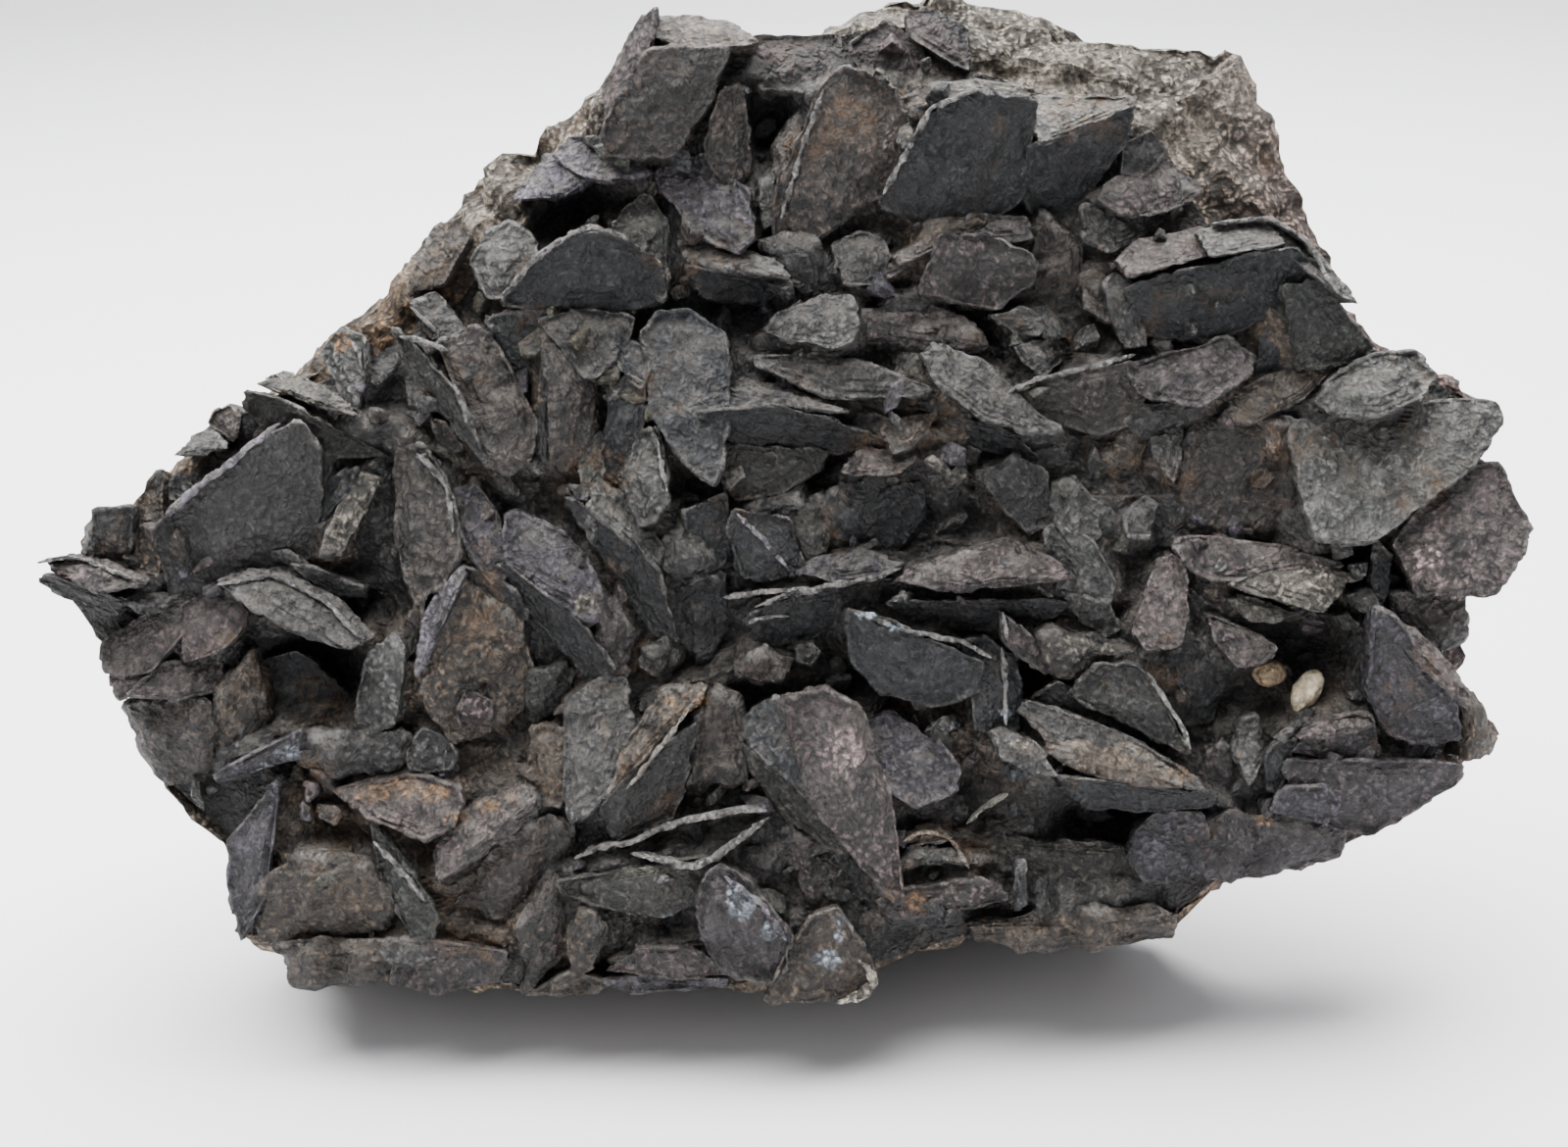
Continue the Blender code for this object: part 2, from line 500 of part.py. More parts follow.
def corners_on_face(pixels, out):
    """An outline's corners in face millimetres, counter-clockwise, to the nearest half. What stands
    out is nearer to the eye and looks larger, so it is drawn in by its share of the distance."""
    share = (VIEW_DISTANCE - out) / VIEW_DISTANCE
    pixels = np.array(pixels, float)
    across = (pixels[:, 0] - VIEW_CENTRE[0]) / PIXELS_PER_MM * share
    up = (VIEW_CENTRE[1] - pixels[:, 1]) / PIXELS_PER_MM * share
    corners = np.round(np.column_stack([across, up]) / READING_STEP) * READING_STEP
    following = np.roll(corners, -1, axis=0)
    area = (corners[:, 0] * following[:, 1] - following[:, 0] * corners[:, 1]).sum() / 2
    return corners if area > 0 else corners[::-1]


def middle_of(corners):
    """The centre of a polygon's area."""
    following = np.roll(corners, -1, axis=0)
    cross = corners[:, 0] * following[:, 1] - following[:, 0] * corners[:, 1]
    return ((corners + following) * cross[:, None]).sum(axis=0) / (3 * cross.sum())


def add_crystal(name, number, row, group):
    """A crystal: a flat broad face, a bevel down to the rim, and a root that narrows behind. The
    outline is widened a little, so that neighbours overlap, and no two roots end level."""
    out, thickness, tip, lean, kind, pixels = row
    bevel, drop, root_share = KINDS[kind]
    corners = corners_on_face(pixels, out)
    middle = middle_of(corners)
    rim = (corners - middle) * OVERLAP
    reach = np.linalg.norm(rim, axis=1, keepdims=True)
    face = rim * np.maximum(1 - bevel / reach, LEAST_FACE)
    downhill = np.array([math.cos(math.radians(tip)), math.sin(math.radians(tip))])
    fall = math.tan(math.radians(lean))
    shape = bmesh.new()
    for ring, depth in ((face, 0.0), (rim, drop)):
        points = np.column_stack([ring + middle, out - depth - fall * (ring @ downhill)])
        for point in face_to_world(points):
            shape.verts.new(point)
    root = rim[::2] * root_share + middle
    root_out = min(-ROOT_DEPTH, out - thickness) - ROOT_STEP * number
    for point in face_to_world(np.column_stack([root, np.full(len(root), root_out)])):
        shape.verts.new(point)
    hull = bmesh.ops.convex_hull(shape, input=shape.verts)
    inside = {item for item in hull["geom_interior"] if isinstance(item, bmesh.types.BMVert)}
    bmesh.ops.delete(shape, geom=list(inside), context="VERTS")
    bmesh.ops.dissolve_limit(shape, angle_limit=NEARLY_FLAT, verts=shape.verts, edges=shape.edges)
    face_outwards(shape)
    mesh = bpy.data.meshes.new(name)
    shape.to_mesh(mesh)
    shape.free()
    crystal = bpy.data.objects.new(name, mesh)
    group.objects.link(crystal)
    return crystal


def add_rock_cutter(group):
    """A block whose front runs just over the rock's front, to trim the crust and the crystals' roots."""
    rings = rock_front(TOUCH_GAP)
    rings.append(face_ring(CUTTER_SHARE, RIM_OUT - TOUCH_GAP))
    rings.append(face_ring(CUTTER_SHARE, -BACK_DEPTH))
    points = np.concatenate([[(0, 0, DISH_OUT + TOUCH_GAP)], *rings, [(0, 0, -BACK_DEPTH)]])
    return add_solid("rock_cutter", points, ring_faces(len(rings), len(OUTLINE)), group)


def hide(helper):
    helper.hide_render = True
    helper.display_type = "WIRE"


def add_boolean(solid, name, operation):
    modifier = solid.modifiers.new(name, "BOOLEAN")
    modifier.operation = operation
    modifier.solver = "EXACT"
    return modifier


def add_grain(name, row, index, group, material):
    """A pale rounded grain: an uneven ellipsoid."""
    across, up, out, radii, turn = row
    shape = bmesh.new()
    bmesh.ops.create_icosphere(shape, subdivisions=GRAIN_DETAIL, radius=1)
    points = np.array([corner.co for corner in shape.verts])
    faces = [tuple(corner.index for corner in face.verts) for face in shape.faces]
    shape.free()
    size, seed = NOISE["grain"]
    points *= 1 + GRAIN_LUMPS * lattice_noise(points, size, seed + index)[:, None]
    points *= radii
    turn = math.radians(turn)
    turned = points.copy()
    turned[:, 0] = points[:, 0] * math.cos(turn) + points[:, 1] * math.sin(turn)
    turned[:, 1] = points[:, 1] * math.cos(turn) - points[:, 0] * math.sin(turn)
    return add_solid(name, turned + (across, up, out), faces, group, material)


def keep_largest_body(solid):
    """Applies the modifiers, and drops the chips and closed voids that the unions leave."""
    graph = bpy.context.evaluated_depsgraph_get()
    mesh = bpy.data.meshes.new_from_object(solid.evaluated_get(graph))
    solid.modifiers.clear()
    solid.data = mesh
    shape = bmesh.new()
    shape.from_mesh(mesh)
    left = set(shape.faces)
    bodies = []
    while left:
        body = {left.pop()}
        edge_on = list(body)
        while edge_on:
            face = edge_on.pop()
            beside = {other for edge in face.edges for other in edge.link_faces} & left
            left -= beside
            body |= beside
            edge_on += beside
        bodies.append(body)
    largest = max(bodies, key=len)
    stray = [face for body in bodies if body is not largest for face in body]
    bmesh.ops.delete(shape, geom=stray, context="FACES")
    bmesh.ops.remove_doubles(shape, verts=shape.verts, dist=SLIVER * MM)
    bmesh.ops.dissolve_degenerate(shape, edges=shape.edges, dist=SLIVER * MM)
    bmesh.ops.triangulate(shape, faces=shape.faces, ngon_method="BEAUTY")
    shape.to_mesh(mesh)
    shape.free()


def main():
    clear_scene()
    specimen = collection_named("siderite_with_goethite")
    cutters = collection_named("crystals_and_cutters")
    cutters.hide_render = True
    blades = bpy.data.collections.new("blades")
    cutters.children.link(blades)

    rock = stone_material("granular rock")
    siderite = stone_material("altered siderite")
    quartz = stone_material("pale quartz")

    add_matrix(specimen, rock)
    crystals = add_crust(specimen, siderite)
    for region, rows in CRYSTALS.items():
        for number, row in enumerate(rows, 1):
            hide(add_crystal(f"{region}_{number}", number, row, blades))
    rock_cutter = add_rock_cutter(cutters)
    hide(rock_cutter)

    union = add_boolean(crystals, "grown together", "UNION")
    union.operand_type = "COLLECTION"
    union.collection = blades
    trim = add_boolean(crystals, "seat on the rock", "DIFFERENCE")
    trim.object = rock_cutter
    keep_largest_body(crystals)

    for number, (name, row) in enumerate(GRAINS.items()):
        add_grain(name, row, number, specimen, quartz)


main()
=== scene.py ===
"""Siderite with goethite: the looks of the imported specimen.

The crystal side is laid out in a face frame, in millimetres, as the solids are: across runs to
the right, up runs up the face, and out points from the face to the viewer. face_to_world turns it
into the specimen's own frame, in metres.
"""

import itertools
import math

import bpy
import numpy as np
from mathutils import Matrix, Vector


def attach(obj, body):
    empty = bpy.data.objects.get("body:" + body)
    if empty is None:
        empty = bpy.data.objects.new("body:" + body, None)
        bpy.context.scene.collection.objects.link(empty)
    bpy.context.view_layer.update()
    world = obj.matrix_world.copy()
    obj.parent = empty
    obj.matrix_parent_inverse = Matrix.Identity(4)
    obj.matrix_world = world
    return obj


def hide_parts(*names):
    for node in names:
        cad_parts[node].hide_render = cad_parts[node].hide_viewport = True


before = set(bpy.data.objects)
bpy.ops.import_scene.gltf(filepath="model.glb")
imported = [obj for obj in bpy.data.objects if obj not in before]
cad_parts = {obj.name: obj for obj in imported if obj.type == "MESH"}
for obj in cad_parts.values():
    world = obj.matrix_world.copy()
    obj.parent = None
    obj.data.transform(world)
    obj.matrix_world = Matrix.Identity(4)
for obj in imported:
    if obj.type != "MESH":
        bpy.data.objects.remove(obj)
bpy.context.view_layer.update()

MM = 0.001

# Where the face stands in the specimen's frame: how far it leans back, how high its centre is, and
# where the footprint's middle lies from that centre.
FACE_TILT = math.radians(20)
FACE_HEIGHT = 84.0
FOOTPRINT_CENTRE = (2.76, 18.55)
FACE_CENTRE = Vector((-FOOTPRINT_CENTRE[0], -FOOTPRINT_CENTRE[1], FACE_HEIGHT)) * MM

# The rock: its depth behind the face's centre, how much deeper it gets with each millimetre down,
# its lumps, the least depth that a fracture leaves, how far its foot is drawn down and over which
# height, the point that its lumps grow away from, and the height and lumps of its rim.
BACK_DEPTH = 64.0
BACK_TAPER = 0.28
BACK_LUMPS = 4.0
LEAST_DEPTH = -4.0
FOOT_DROP = 12.0
FOOT_REACH = 70.0
ROCK_CENTRE = (0.0, 0.0, -30.0)
RIM_OUT = -11.0
RIM_LUMPS = 2.5

# The dish in the rock that holds the crust: its floor, the share of the outline that its wall
# takes, and its lip.
DISH_OUT = -22.0
DISH_WALL = 0.09
LIP_OUT = -6.0

# The crust between the crystals: its height, its lumps, how far its edge stands over the lip, how
# high it climbs beside the crystals, how far it stays below their faces, and how steeply it falls
# away from them.
CRUST_OUT = -2.0
CRUST_LUMPS = 2.5
CRUST_EDGE = 1.5
CRUST_TOP = 3.5
CRUST_BELOW = 2.2
SKIRT_SLOPE = 1.1

# The crystals: the least depth of their roots, the share of their thickness that the side takes,
# how much larger than read their outlines are, so that they meet, how light they are in all, and
# how far apart they lie in the noise, so that no two are alike.
ROOT_DEPTH = 9.0
SIDE_SHARE = 0.55
OVERLAP = 1.12
SHADE = 0.50
APART = 31.0

# A crystal's profile after its rim: how much of a step the side takes, and how much the root.
SIDE_STEP = 0.45
ROOT_STEP = 0.55

# How far past a crystal's rim its face still counts, and the height where there is no crystal.
FACE_REACH = 12
NO_FACE = -30.0

# The worn rims: how steeply the faces they lie on fall away, how deep they reach into them, the
# length of a step along them, and how many times their paths are smoothed.
RIM_SLOPE = 0.6
WALL_DEPTH = 4.0
RIM_STEP = 0.45
SMOOTHING_ROUNDS = 12

# How finely the large skins are divided: the points along each side of the outline, for the crust,
# for the places of the chips and for the rock, the crust's rings, and the rock's rings between one
# row of its profile and the next.
CRUST_AROUND = 12
CRUST_RINGS = 126
CHIPS_AROUND = 8
ROCK_AROUND = 8
ROCK_RINGS = (3, 6, 6, 6, 14, 12, 12, 14, 18, 20, 16)

# The small broken crystals: how many, and the seed of their places.
CHIPS = 420
CHIP_SEED = 7

# Edges sharper than this shade as edges.
CREASE = math.radians(38)

# The specimen's outline on the face: across, up, and how much of the way from the centre to
# this point the dark crust covers. Beyond that the pale rock shows.
OUTLINE = [
    (-25, 91, 0.97), (-15, 94, 0.97), (-5, 92, 0.97), (5, 92, 0.97), (14, 96, 0.96), (24, 97, 0.93),
    (35, 95, 0.9), (52, 92, 0.88), (68, 91, 0.84), (79, 89, 0.82), (84, 79, 0.82), (87, 69, 0.84),
    (93, 60, 0.9), (97, 49, 0.96), (103, 41, 0.96), (115, 34, 0.97), (123, 27, 0.97),
    (122, 20, 0.95), (127, 14, 0.9), (130, 6, 0.88), (121, -6, 0.88), (119, -18, 0.94),
    (126, -29, 0.92), (115, -38, 0.96), (98, -50, 0.96), (80, -54, 0.96), (69, -63, 0.96),
    (56, -66, 0.96), (35, -65, 0.96), (19, -70, 0.96), (7, -74, 0.96), (-18, -73, 0.97),
    (-44, -74, 0.97), (-64, -73, 0.97), (-84, -71, 0.97), (-96, -63, 0.97), (-98, -48, 0.97),
    (-109, -38, 0.97), (-116, -20, 0.97), (-127, -4, 0.97), (-122, 6, 0.96), (-111, 14, 0.95),
    (-97, 27, 0.95), (-85, 35, 0.93), (-75, 43, 0.9), (-64, 54, 0.86), (-61, 60, 0.85),
    (-50, 70, 0.87), (-35, 80, 0.92),
]

# The rock behind the face, ring by ring: share of the outline, share of the whole depth, and how
# much of the foot's drop it takes.
BACK_PROFILE = [
    (1.0, 0.36, 0.1), (0.97, 0.58, 0.8), (0.92, 0.78, 1.0), (0.80, 0.92, 1.0), (0.55, 1.0, 0.6),
    (0.25, 1.02, 0.2),
]

# Flat broken faces on the back: the direction each one faces (across, up, out; a unit vector),
# and how far it lies from the rock's centre.
FRACTURES = [
    ((-0.55, 0.15, -0.82), 58), ((0.62, -0.10, -0.78), 62), ((0.12, 0.72, -0.68), 54),
    ((-0.62, 0.62, -0.48), 66), ((0.66, 0.48, -0.58), 72), ((-0.10, -0.20, -0.97), 56),
    ((-0.85, -0.25, -0.46), 95), ((0.90, 0.10, -0.42), 102),
]

# Hollows between the crystals: across, up, radius and depth below the crust.
PITS = [
    (-38, 61, 9, 10), (-100, 19, 6, 5), (-79, -12, 9, 15), (-14, 16, 7, 6), (58, 45, 6, 8),
    (-9, 46, 8, 6), (5, 22, 8, 6), (12, -21, 8, 8), (58, -42, 9, 9), (64, -27, 7, 7),
    (90, -12, 10, 8), (99, 2, 5, 6), (-112, -9, 5, 4), (-1, 76, 7, 6), (30, 45, 7, 5),
    (-45, -17, 7, 6), (-3, -22, 7, 6), (-55, -45, 6, 4), (40, -18, 8, 6), (86, 55, 6, 4),
]

# How the photo shows the face: its pixel at the face's centre, its pixels to a millimetre there,
# the eye's distance from it in millimetres, and the step to which readings are rounded.
VIEW_CENTRE = (800, 585)
PIXELS_PER_MM = 6
VIEW_DISTANCE = 381
READING_STEP = 0.5

# Kinds of crystal: the width of the bevel round the broad face, how far the rim lies below the
# face, the share of the outline that is left where the side ends, and the share at the root.
KINDS = {
    "slab": (0.8, 0.4, 0.97, 0.80),
    "block": (0.9, 0.5, 1.00, 0.95),
    "lens": (2.6, 1.3, 0.90, 0.55),
    "rough": (2.6, 1.5, 1.00, 1.00),
}

# The crystals' colours. The small chips take the first CHIP_TINTS of them.
TINTS = {
    "brown": (0.100, 0.076, 0.061),
    "grey": (0.097, 0.094, 0.091),
    "violet": (0.103, 0.092, 0.115),
    "iron": (0.071, 0.067, 0.064),
    "moss": (0.079, 0.086, 0.073),
    "plum": (0.098, 0.077, 0.084),
    "cream": (0.355, 0.316, 0.258),
    "rose": (0.128, 0.095, 0.092),
    "sage": (0.128, 0.132, 0.122),
    "tan": (0.167, 0.123, 0.086),
    "slate": (0.064, 0.069, 0.076),
    "olive": (0.093, 0.090, 0.070),
    "frost": (0.295, 0.330, 0.376),
    "ochre": (0.230, 0.128, 0.062),
}
CHIP_TINTS = 12

# The rock's colours, and what lies over all the stone: rust, bright edges that are partly worn and
# partly a painted highlight, dust, and painted shade in the deep hollows, with how dark that
# shade gets.
ROCK_GREY = (0.19, 0.150, 0.110)
ROCK_WARM = (0.20, 0.12, 0.062)
ROCK_CREAM = (0.31, 0.275, 0.225)
ROCK_PINK = (0.20, 0.135, 0.125)
RUST = (0.17, 0.095, 0.045)
WORN_AND_LIT_EDGE = (0.30, 0.285, 0.265)
DUST = (0.27, 0.245, 0.215)
HOLLOW_SHADE = (0.008, 0.0075, 0.0075)
HOLLOW_SHADE_SHARE = 0.93

# The crystals by region. Each row is one broad face: its middle's height out, how thick the
# crystal is, the direction the face leans to (tip), how far it leans, the kind, the tint, how
# light the tint is, and the corners of its outline as read in the photo, in pixels from its top
# left.
# The lightness in each row carries painted light and shade as well as the stone's own tone: faces turned up
# are painted lighter and faces turned down darker, so a crystal's lit top band and its shaded lower face
# stand as two rows.
CRYSTALS = {
    "peak": [
        (7, 12, -80, 12, "block", "brown", 0.8, [(626, 118), (665, 60), (700, 55), (735, 60), (728, 95),
            (712, 118), (690, 155), (620, 158)]),
        (5, 10, 170, 40, "block", "rose", 1.3, [(668, 22), (662, 60), (640, 110), (622, 118), (618, 85),
            (640, 50), (655, 28)]),
        (4, 9, 90, 45, "block", "tan", 1.2, [(668, 20), (700, 18), (745, 28), (768, 44), (760, 52),
            (705, 54), (672, 42)]),
        (3, 9, -20, 30, "slab", "brown", 1, [(735, 100), (755, 95), (765, 140), (763, 172), (748, 190),
            (728, 175), (722, 150)]),
        (1, 5, 115, 35, "slab", "violet", 1.6, [(528, 202), (555, 162), (590, 165), (605, 185),
            (580, 202)]),
        (2, 5, 90, 35, "slab", "violet", 1.4, [(570, 160), (582, 142), (618, 144), (660, 178), (620, 186),
            (590, 178)]),
        (2, 7, 100, 14, "slab", "violet", 1, [(673, 185), (682, 162), (715, 165), (760, 200), (768, 240),
            (748, 252), (712, 238)]),
        (2, 7, 45, 15, "slab", "moss", 1.1, [(645, 210), (662, 202), (680, 232), (680, 290), (664, 330),
            (640, 262), (622, 240)]),
        (1, 4, 90, 20, "slab", "grey", 1.3, [(585, 240), (612, 222), (607, 240), (590, 248)]),
        (2, 5, 150, 20, "slab", "moss", 1, [(775, 190), (788, 180), (790, 225), (780, 235)]),
    ],
    "top": [
        (-3, 8, 90, 12, "slab", "rose", 1.3, [(765, 45), (850, 42), (860, 70), (848, 95), (780, 98),
            (768, 72)]),
        (4, 9, -60, 14, "slab", "brown", 1.2, [(838, 100), (860, 85), (902, 96), (925, 130), (903, 192),
            (830, 240), (796, 232), (798, 200)]),
        (5, 10, -75, 25, "slab", "slate", 0.6, [(905, 205), (935, 150), (958, 120), (990, 106),
            (1047, 115), (1045, 160), (1033, 202), (1000, 222), (930, 215)]),
        (3, 8, 90, 40, "slab", "sage", 1.5, [(1050, 128), (1060, 100), (1150, 100), (1145, 112),
            (1090, 136), (1060, 150)]),
        (3, 10, -80, 35, "slab", "slate", 0.65, [(1050, 155), (1090, 140), (1145, 118), (1140, 150),
            (1100, 212), (1060, 215), (1045, 190)]),
        (2, 8, -45, 15, "slab", "grey", 0.95, [(1145, 150), (1170, 140), (1187, 157), (1165, 180),
            (1145, 178)]),
        (2, 7, 60, 20, "slab", "rose", 1.2, [(1120, 205), (1140, 185), (1190, 162), (1222, 195),
            (1200, 212), (1150, 222)]),
        (1, 6, 50, 20, "slab", "grey", 0.95, [(1105, 215), (1125, 208), (1200, 212), (1160, 242),
            (1130, 258), (1108, 245)]),
        (-3, 6, 45, 25, "slab", "rose", 1.1, [(925, 20), (950, 15), (985, 35), (985, 75), (955, 60),
            (930, 45)]),
        (1, 6, 90, 30, "slab", "cream", 0.6, [(925, 105), (950, 90), (1000, 85), (1050, 95), (1040, 110),
            (950, 120)]),
        (0, 6, 70, 15, "rough", "brown", 1, [(790, 150), (815, 110), (836, 102), (815, 165), (795, 200)]),
        (-2, 6, 20, 12, "slab", "rose", 0.9, [(870, 55), (905, 30), (935, 50), (950, 85), (915, 95),
            (880, 80)]),
    ],
    "upper_right": [
        (5, 10, -85, 30, "slab", "slate", 0.65, [(1155, 290), (1200, 280), (1290, 255), (1330, 270),
            (1375, 330), (1320, 345), (1240, 342), (1205, 358), (1170, 342)]),
        (5, 8, -30, 25, "slab", "moss", 0.95, [(1305, 300), (1335, 290), (1370, 320), (1402, 355),
            (1380, 366), (1325, 372)]),
        (6, 5, 95, 45, "slab", "rose", 1.3, [(1140, 265), (1165, 245), (1225, 232), (1235, 258),
            (1200, 268), (1155, 280)]),
        (7, 5, 95, 45, "slab", "sage", 1.5, [(1225, 233), (1290, 222), (1302, 250), (1235, 262)]),
        (7, 5, 60, 45, "slab", "grey", 1.3, [(1290, 224), (1325, 240), (1350, 265), (1374, 304),
            (1360, 300), (1300, 252)]),
        (4, 9, 110, 10, "slab", "grey", 1, [(1127, 292), (1140, 283), (1154, 288), (1166, 350),
            (1146, 352), (1133, 322)]),
        (1, 7, 100, 15, "slab", "brown", 0.9, [(1100, 285), (1125, 272), (1130, 330), (1108, 318)]),
        (4, 8, -70, 15, "slab", "rose", 1, [(961, 238), (986, 232), (1013, 246), (1049, 249), (1049, 288),
            (1011, 311), (974, 302), (944, 296)]),
        (2, 7, 95, 20, "slab", "plum", 1.1, [(990, 220), (1040, 222), (1050, 245), (1010, 246),
            (985, 236)]),
        (2, 6, 70, 15, "slab", "grey", 1.1, [(852, 250), (880, 238), (900, 245), (906, 262), (895, 288),
            (862, 290)]),
        (3, 4, 110, 35, "slab", "rose", 1.3, [(915, 262), (935, 248), (970, 235), (975, 245), (940, 262),
            (920, 272)]),
        (2, 4, 110, 35, "slab", "rose", 1.2, [(893, 285), (900, 270), (925, 262), (940, 266), (910, 284)]),
        (2, 7, -80, 12, "rough", "iron", 0.9, [(776, 248), (802, 240), (832, 246), (850, 264), (850, 295),
            (815, 298), (793, 280)]),
        (3, 6, 95, 38, "lens", "grey", 1.1, [(693, 246), (712, 240), (760, 255), (785, 265), (800, 283),
            (770, 281), (705, 272)]),
        (1, 6, -85, 40, "slab", "slate", 0.45, [(705, 275), (760, 280), (800, 286), (780, 308),
            (720, 303)]),
        (0, 6, -60, 12, "rough", "brown", 0.8, [(1060, 220), (1100, 250), (1100, 290), (1062, 300),
            (1048, 262)]),
        (1, 6, -60, 12, "rough", "iron", 0.8, [(900, 290), (945, 295), (970, 305), (950, 330), (905, 325)]),
    ],
    "left": [
        (2, 6, 150, 20, "slab", "sage", 1.3, [(330, 358), (352, 338), (372, 348), (374, 385), (366, 412),
            (348, 398)]),
        (3, 7, 90, 45, "slab", "cream", 0.55, [(265, 392), (290, 379), (335, 397), (378, 430), (335, 416),
            (291, 407)]),
        (4, 10, -80, 25, "slab", "olive", 0.7, [(264, 395), (291, 408), (378, 432), (398, 442), (396, 462),
            (320, 464), (282, 440), (264, 420)]),
        (2, 6, 160, 20, "slab", "brown", 1, [(213, 430), (222, 418), (236, 414), (246, 424), (240, 445),
            (226, 440)]),
        (2, 6, -100, 20, "slab", "iron", 0.75, [(244, 424), (262, 418), (282, 438), (262, 452),
            (245, 452)]),
        (3, 6, 100, 35, "slab", "grey", 1.3, [(181, 465), (194, 446), (212, 438), (228, 450), (232, 458),
            (205, 462)]),
        (2, 6, 160, 20, "slab", "grey", 1, [(172, 492), (183, 482), (200, 498), (202, 512), (188, 520),
            (172, 506)]),
        (5, 11, -60, 22, "slab", "iron", 0.8, [(302, 438), (320, 466), (320, 502), (308, 560), (270, 585),
            (178, 606), (170, 535), (215, 498), (262, 460)]),
        (2, 7, 150, 30, "slab", "slate", 1.2, [(310, 525), (325, 498), (350, 482), (372, 478), (355, 500),
            (328, 562), (310, 552)]),
        (3, 7, 20, 20, "slab", "cream", 0.8, [(385, 488), (366, 488), (350, 505), (330, 562), (348, 560),
            (364, 535)]),
        (2, 7, 160, 20, "slab", "tan", 1, [(134, 545), (140, 512), (155, 490), (172, 482), (167, 540),
            (170, 590), (145, 585)]),
        (2, 8, 170, 40, "slab", "grey", 1.2, [(99, 522), (86, 541), (79, 566), (98, 568), (101, 540)]),
        (3, 8, -80, 15, "slab", "iron", 0.85, [(99, 523), (137, 518), (132, 548), (128, 575), (99, 572)]),
        (6, 5, 95, 40, "lens", "rose", 1.2, [(47, 572), (66, 567), (94, 571), (147, 588), (135, 598),
            (97, 600), (58, 584)]),
        (4, 8, -90, 35, "slab", "iron", 0.6, [(45, 595), (52, 584), (97, 600), (122, 612), (112, 626),
            (60, 607)]),
        (4, 5, 95, 35, "lens", "grey", 1.1, [(118, 612), (140, 603), (174, 606), (162, 620), (140, 622)]),
        (6, 7, 70, 38, "lens", "grey", 1.3, [(230, 594), (252, 584), (284, 583), (338, 612), (372, 645),
            (350, 654), (300, 640), (262, 620)]),
        (2, 6, -90, 20, "slab", "slate", 0.6, [(300, 575), (325, 580), (368, 598), (366, 610), (345, 606),
            (315, 592)]),
        (2, 5, -60, 20, "slab", "grey", 1, [(277, 565), (297, 562), (315, 577), (322, 585), (300, 582)]),
        (4, 9, 90, 18, "slab", "rose", 1.15, [(186, 617), (202, 607), (224, 600), (247, 624), (243, 643),
            (227, 657), (205, 668), (190, 670)]),
        (2, 8, 135, 25, "slab", "rose", 1.05, [(100, 656), (116, 645), (150, 628), (178, 612), (186, 622),
            (186, 645), (155, 680), (120, 688), (104, 680)]),
        (2, 6, 120, 20, "slab", "rose", 0.85, [(108, 690), (140, 682), (160, 686), (145, 700), (122, 712),
            (112, 705)]),
        (3, 6, 60, 22, "slab", "rose", 1, [(135, 705), (166, 678), (190, 672), (215, 680), (225, 700),
            (208, 714), (180, 712), (140, 720)]),
        (1, 8, -140, 15, "rough", "brown", 0.9, [(120, 722), (180, 714), (208, 716), (215, 745),
            (200, 800), (165, 800), (145, 780), (130, 748)]),
        (2, 8, -60, 10, "rough", "tan", 0.8, [(225, 700), (255, 665), (262, 710), (262, 752), (225, 768),
            (212, 740)]),
    ],
    "lower": [
        (-4, 5, -90, 10, "slab", "slate", 0.85, [(265, 688), (274, 676), (302, 671), (320, 678),
            (343, 704), (355, 720), (351, 733), (302, 741), (260, 757)]),
        (4, 8, -170, 20, "slab", "sage", 1.4, [(362, 705), (374, 671), (399, 653), (408, 664), (409, 701),
            (399, 734), (386, 743), (361, 748)]),
        (5, 8, -60, 25, "slab", "violet", 1, [(219, 785), (258, 768), (291, 748), (341, 735), (352, 740),
            (302, 756), (294, 782), (261, 801), (232, 801)]),
        (3, 8, -70, 12, "rough", "grey", 1.1, [(305, 758), (330, 748), (400, 745), (412, 770), (405, 785),
            (340, 792), (308, 782)]),
        (3, 8, -70, 12, "slab", "grey", 1.2, [(412, 765), (430, 746), (450, 750), (462, 770), (455, 785),
            (430, 792), (415, 785)]),
        (5, 9, 100, 20, "slab", "rose", 1.2, [(342, 810), (356, 804), (417, 795), (461, 804), (467, 819),
            (458, 840), (431, 852), (378, 833)]),
        (3, 9, 180, 15, "slab", "violet", 0.95, [(303, 797), (308, 815), (286, 869), (261, 919),
            (256, 961), (242, 962), (230, 897), (232, 861), (275, 808)]),
        (3, 5, 100, 20, "slab", "violet", 1.2, [(307, 800), (318, 804), (319, 813), (310, 819)]),
        (3, 5, 60, 20, "slab", "violet", 1.3, [(303, 822), (314, 826), (312, 840), (303, 836)]),
        (2, 5, 90, 20, "slab", "rose", 1.2, [(319, 824), (339, 826), (352, 833), (339, 840), (322, 836)]),
        (3, 9, -90, 15, "rough", "tan", 0.8, [(269, 899), (300, 877), (347, 876), (378, 890), (391, 925),
            (378, 952), (333, 962), (262, 962), (262, 920)]),
        (4, 10, -150, 15, "slab", "moss", 0.9, [(352, 833), (364, 830), (383, 850), (411, 886), (442, 936),
            (436, 952), (417, 962), (397, 961), (389, 902)]),
        (7, 8, 120, 27, "lens", "rose", 1.15, [(442, 872), (464, 837), (508, 813), (530, 811), (550, 826),
            (519, 847), (500, 872), (461, 897), (444, 895)]),
        (4, 9, -60, 15, "rough", "brown", 0.9, [(462, 900), (500, 873), (519, 849), (552, 836), (577, 845),
            (575, 880), (545, 905), (505, 935), (462, 925)]),
        (2, 8, -90, 10, "rough", "tan", 0.7, [(278, 972), (300, 965), (400, 965), (410, 980), (380, 1002),
            (350, 1010), (300, 1007)]),
        (3, 7, -90, 10, "slab", "rose", 0.9, [(405, 966), (440, 962), (510, 974), (500, 1006), (440, 1017),
            (402, 1008)]),
        (4, 5, 60, 15, "slab", "grey", 1.3, [(385, 972), (405, 962), (440, 968), (438, 980), (415, 990),
            (395, 984)]),
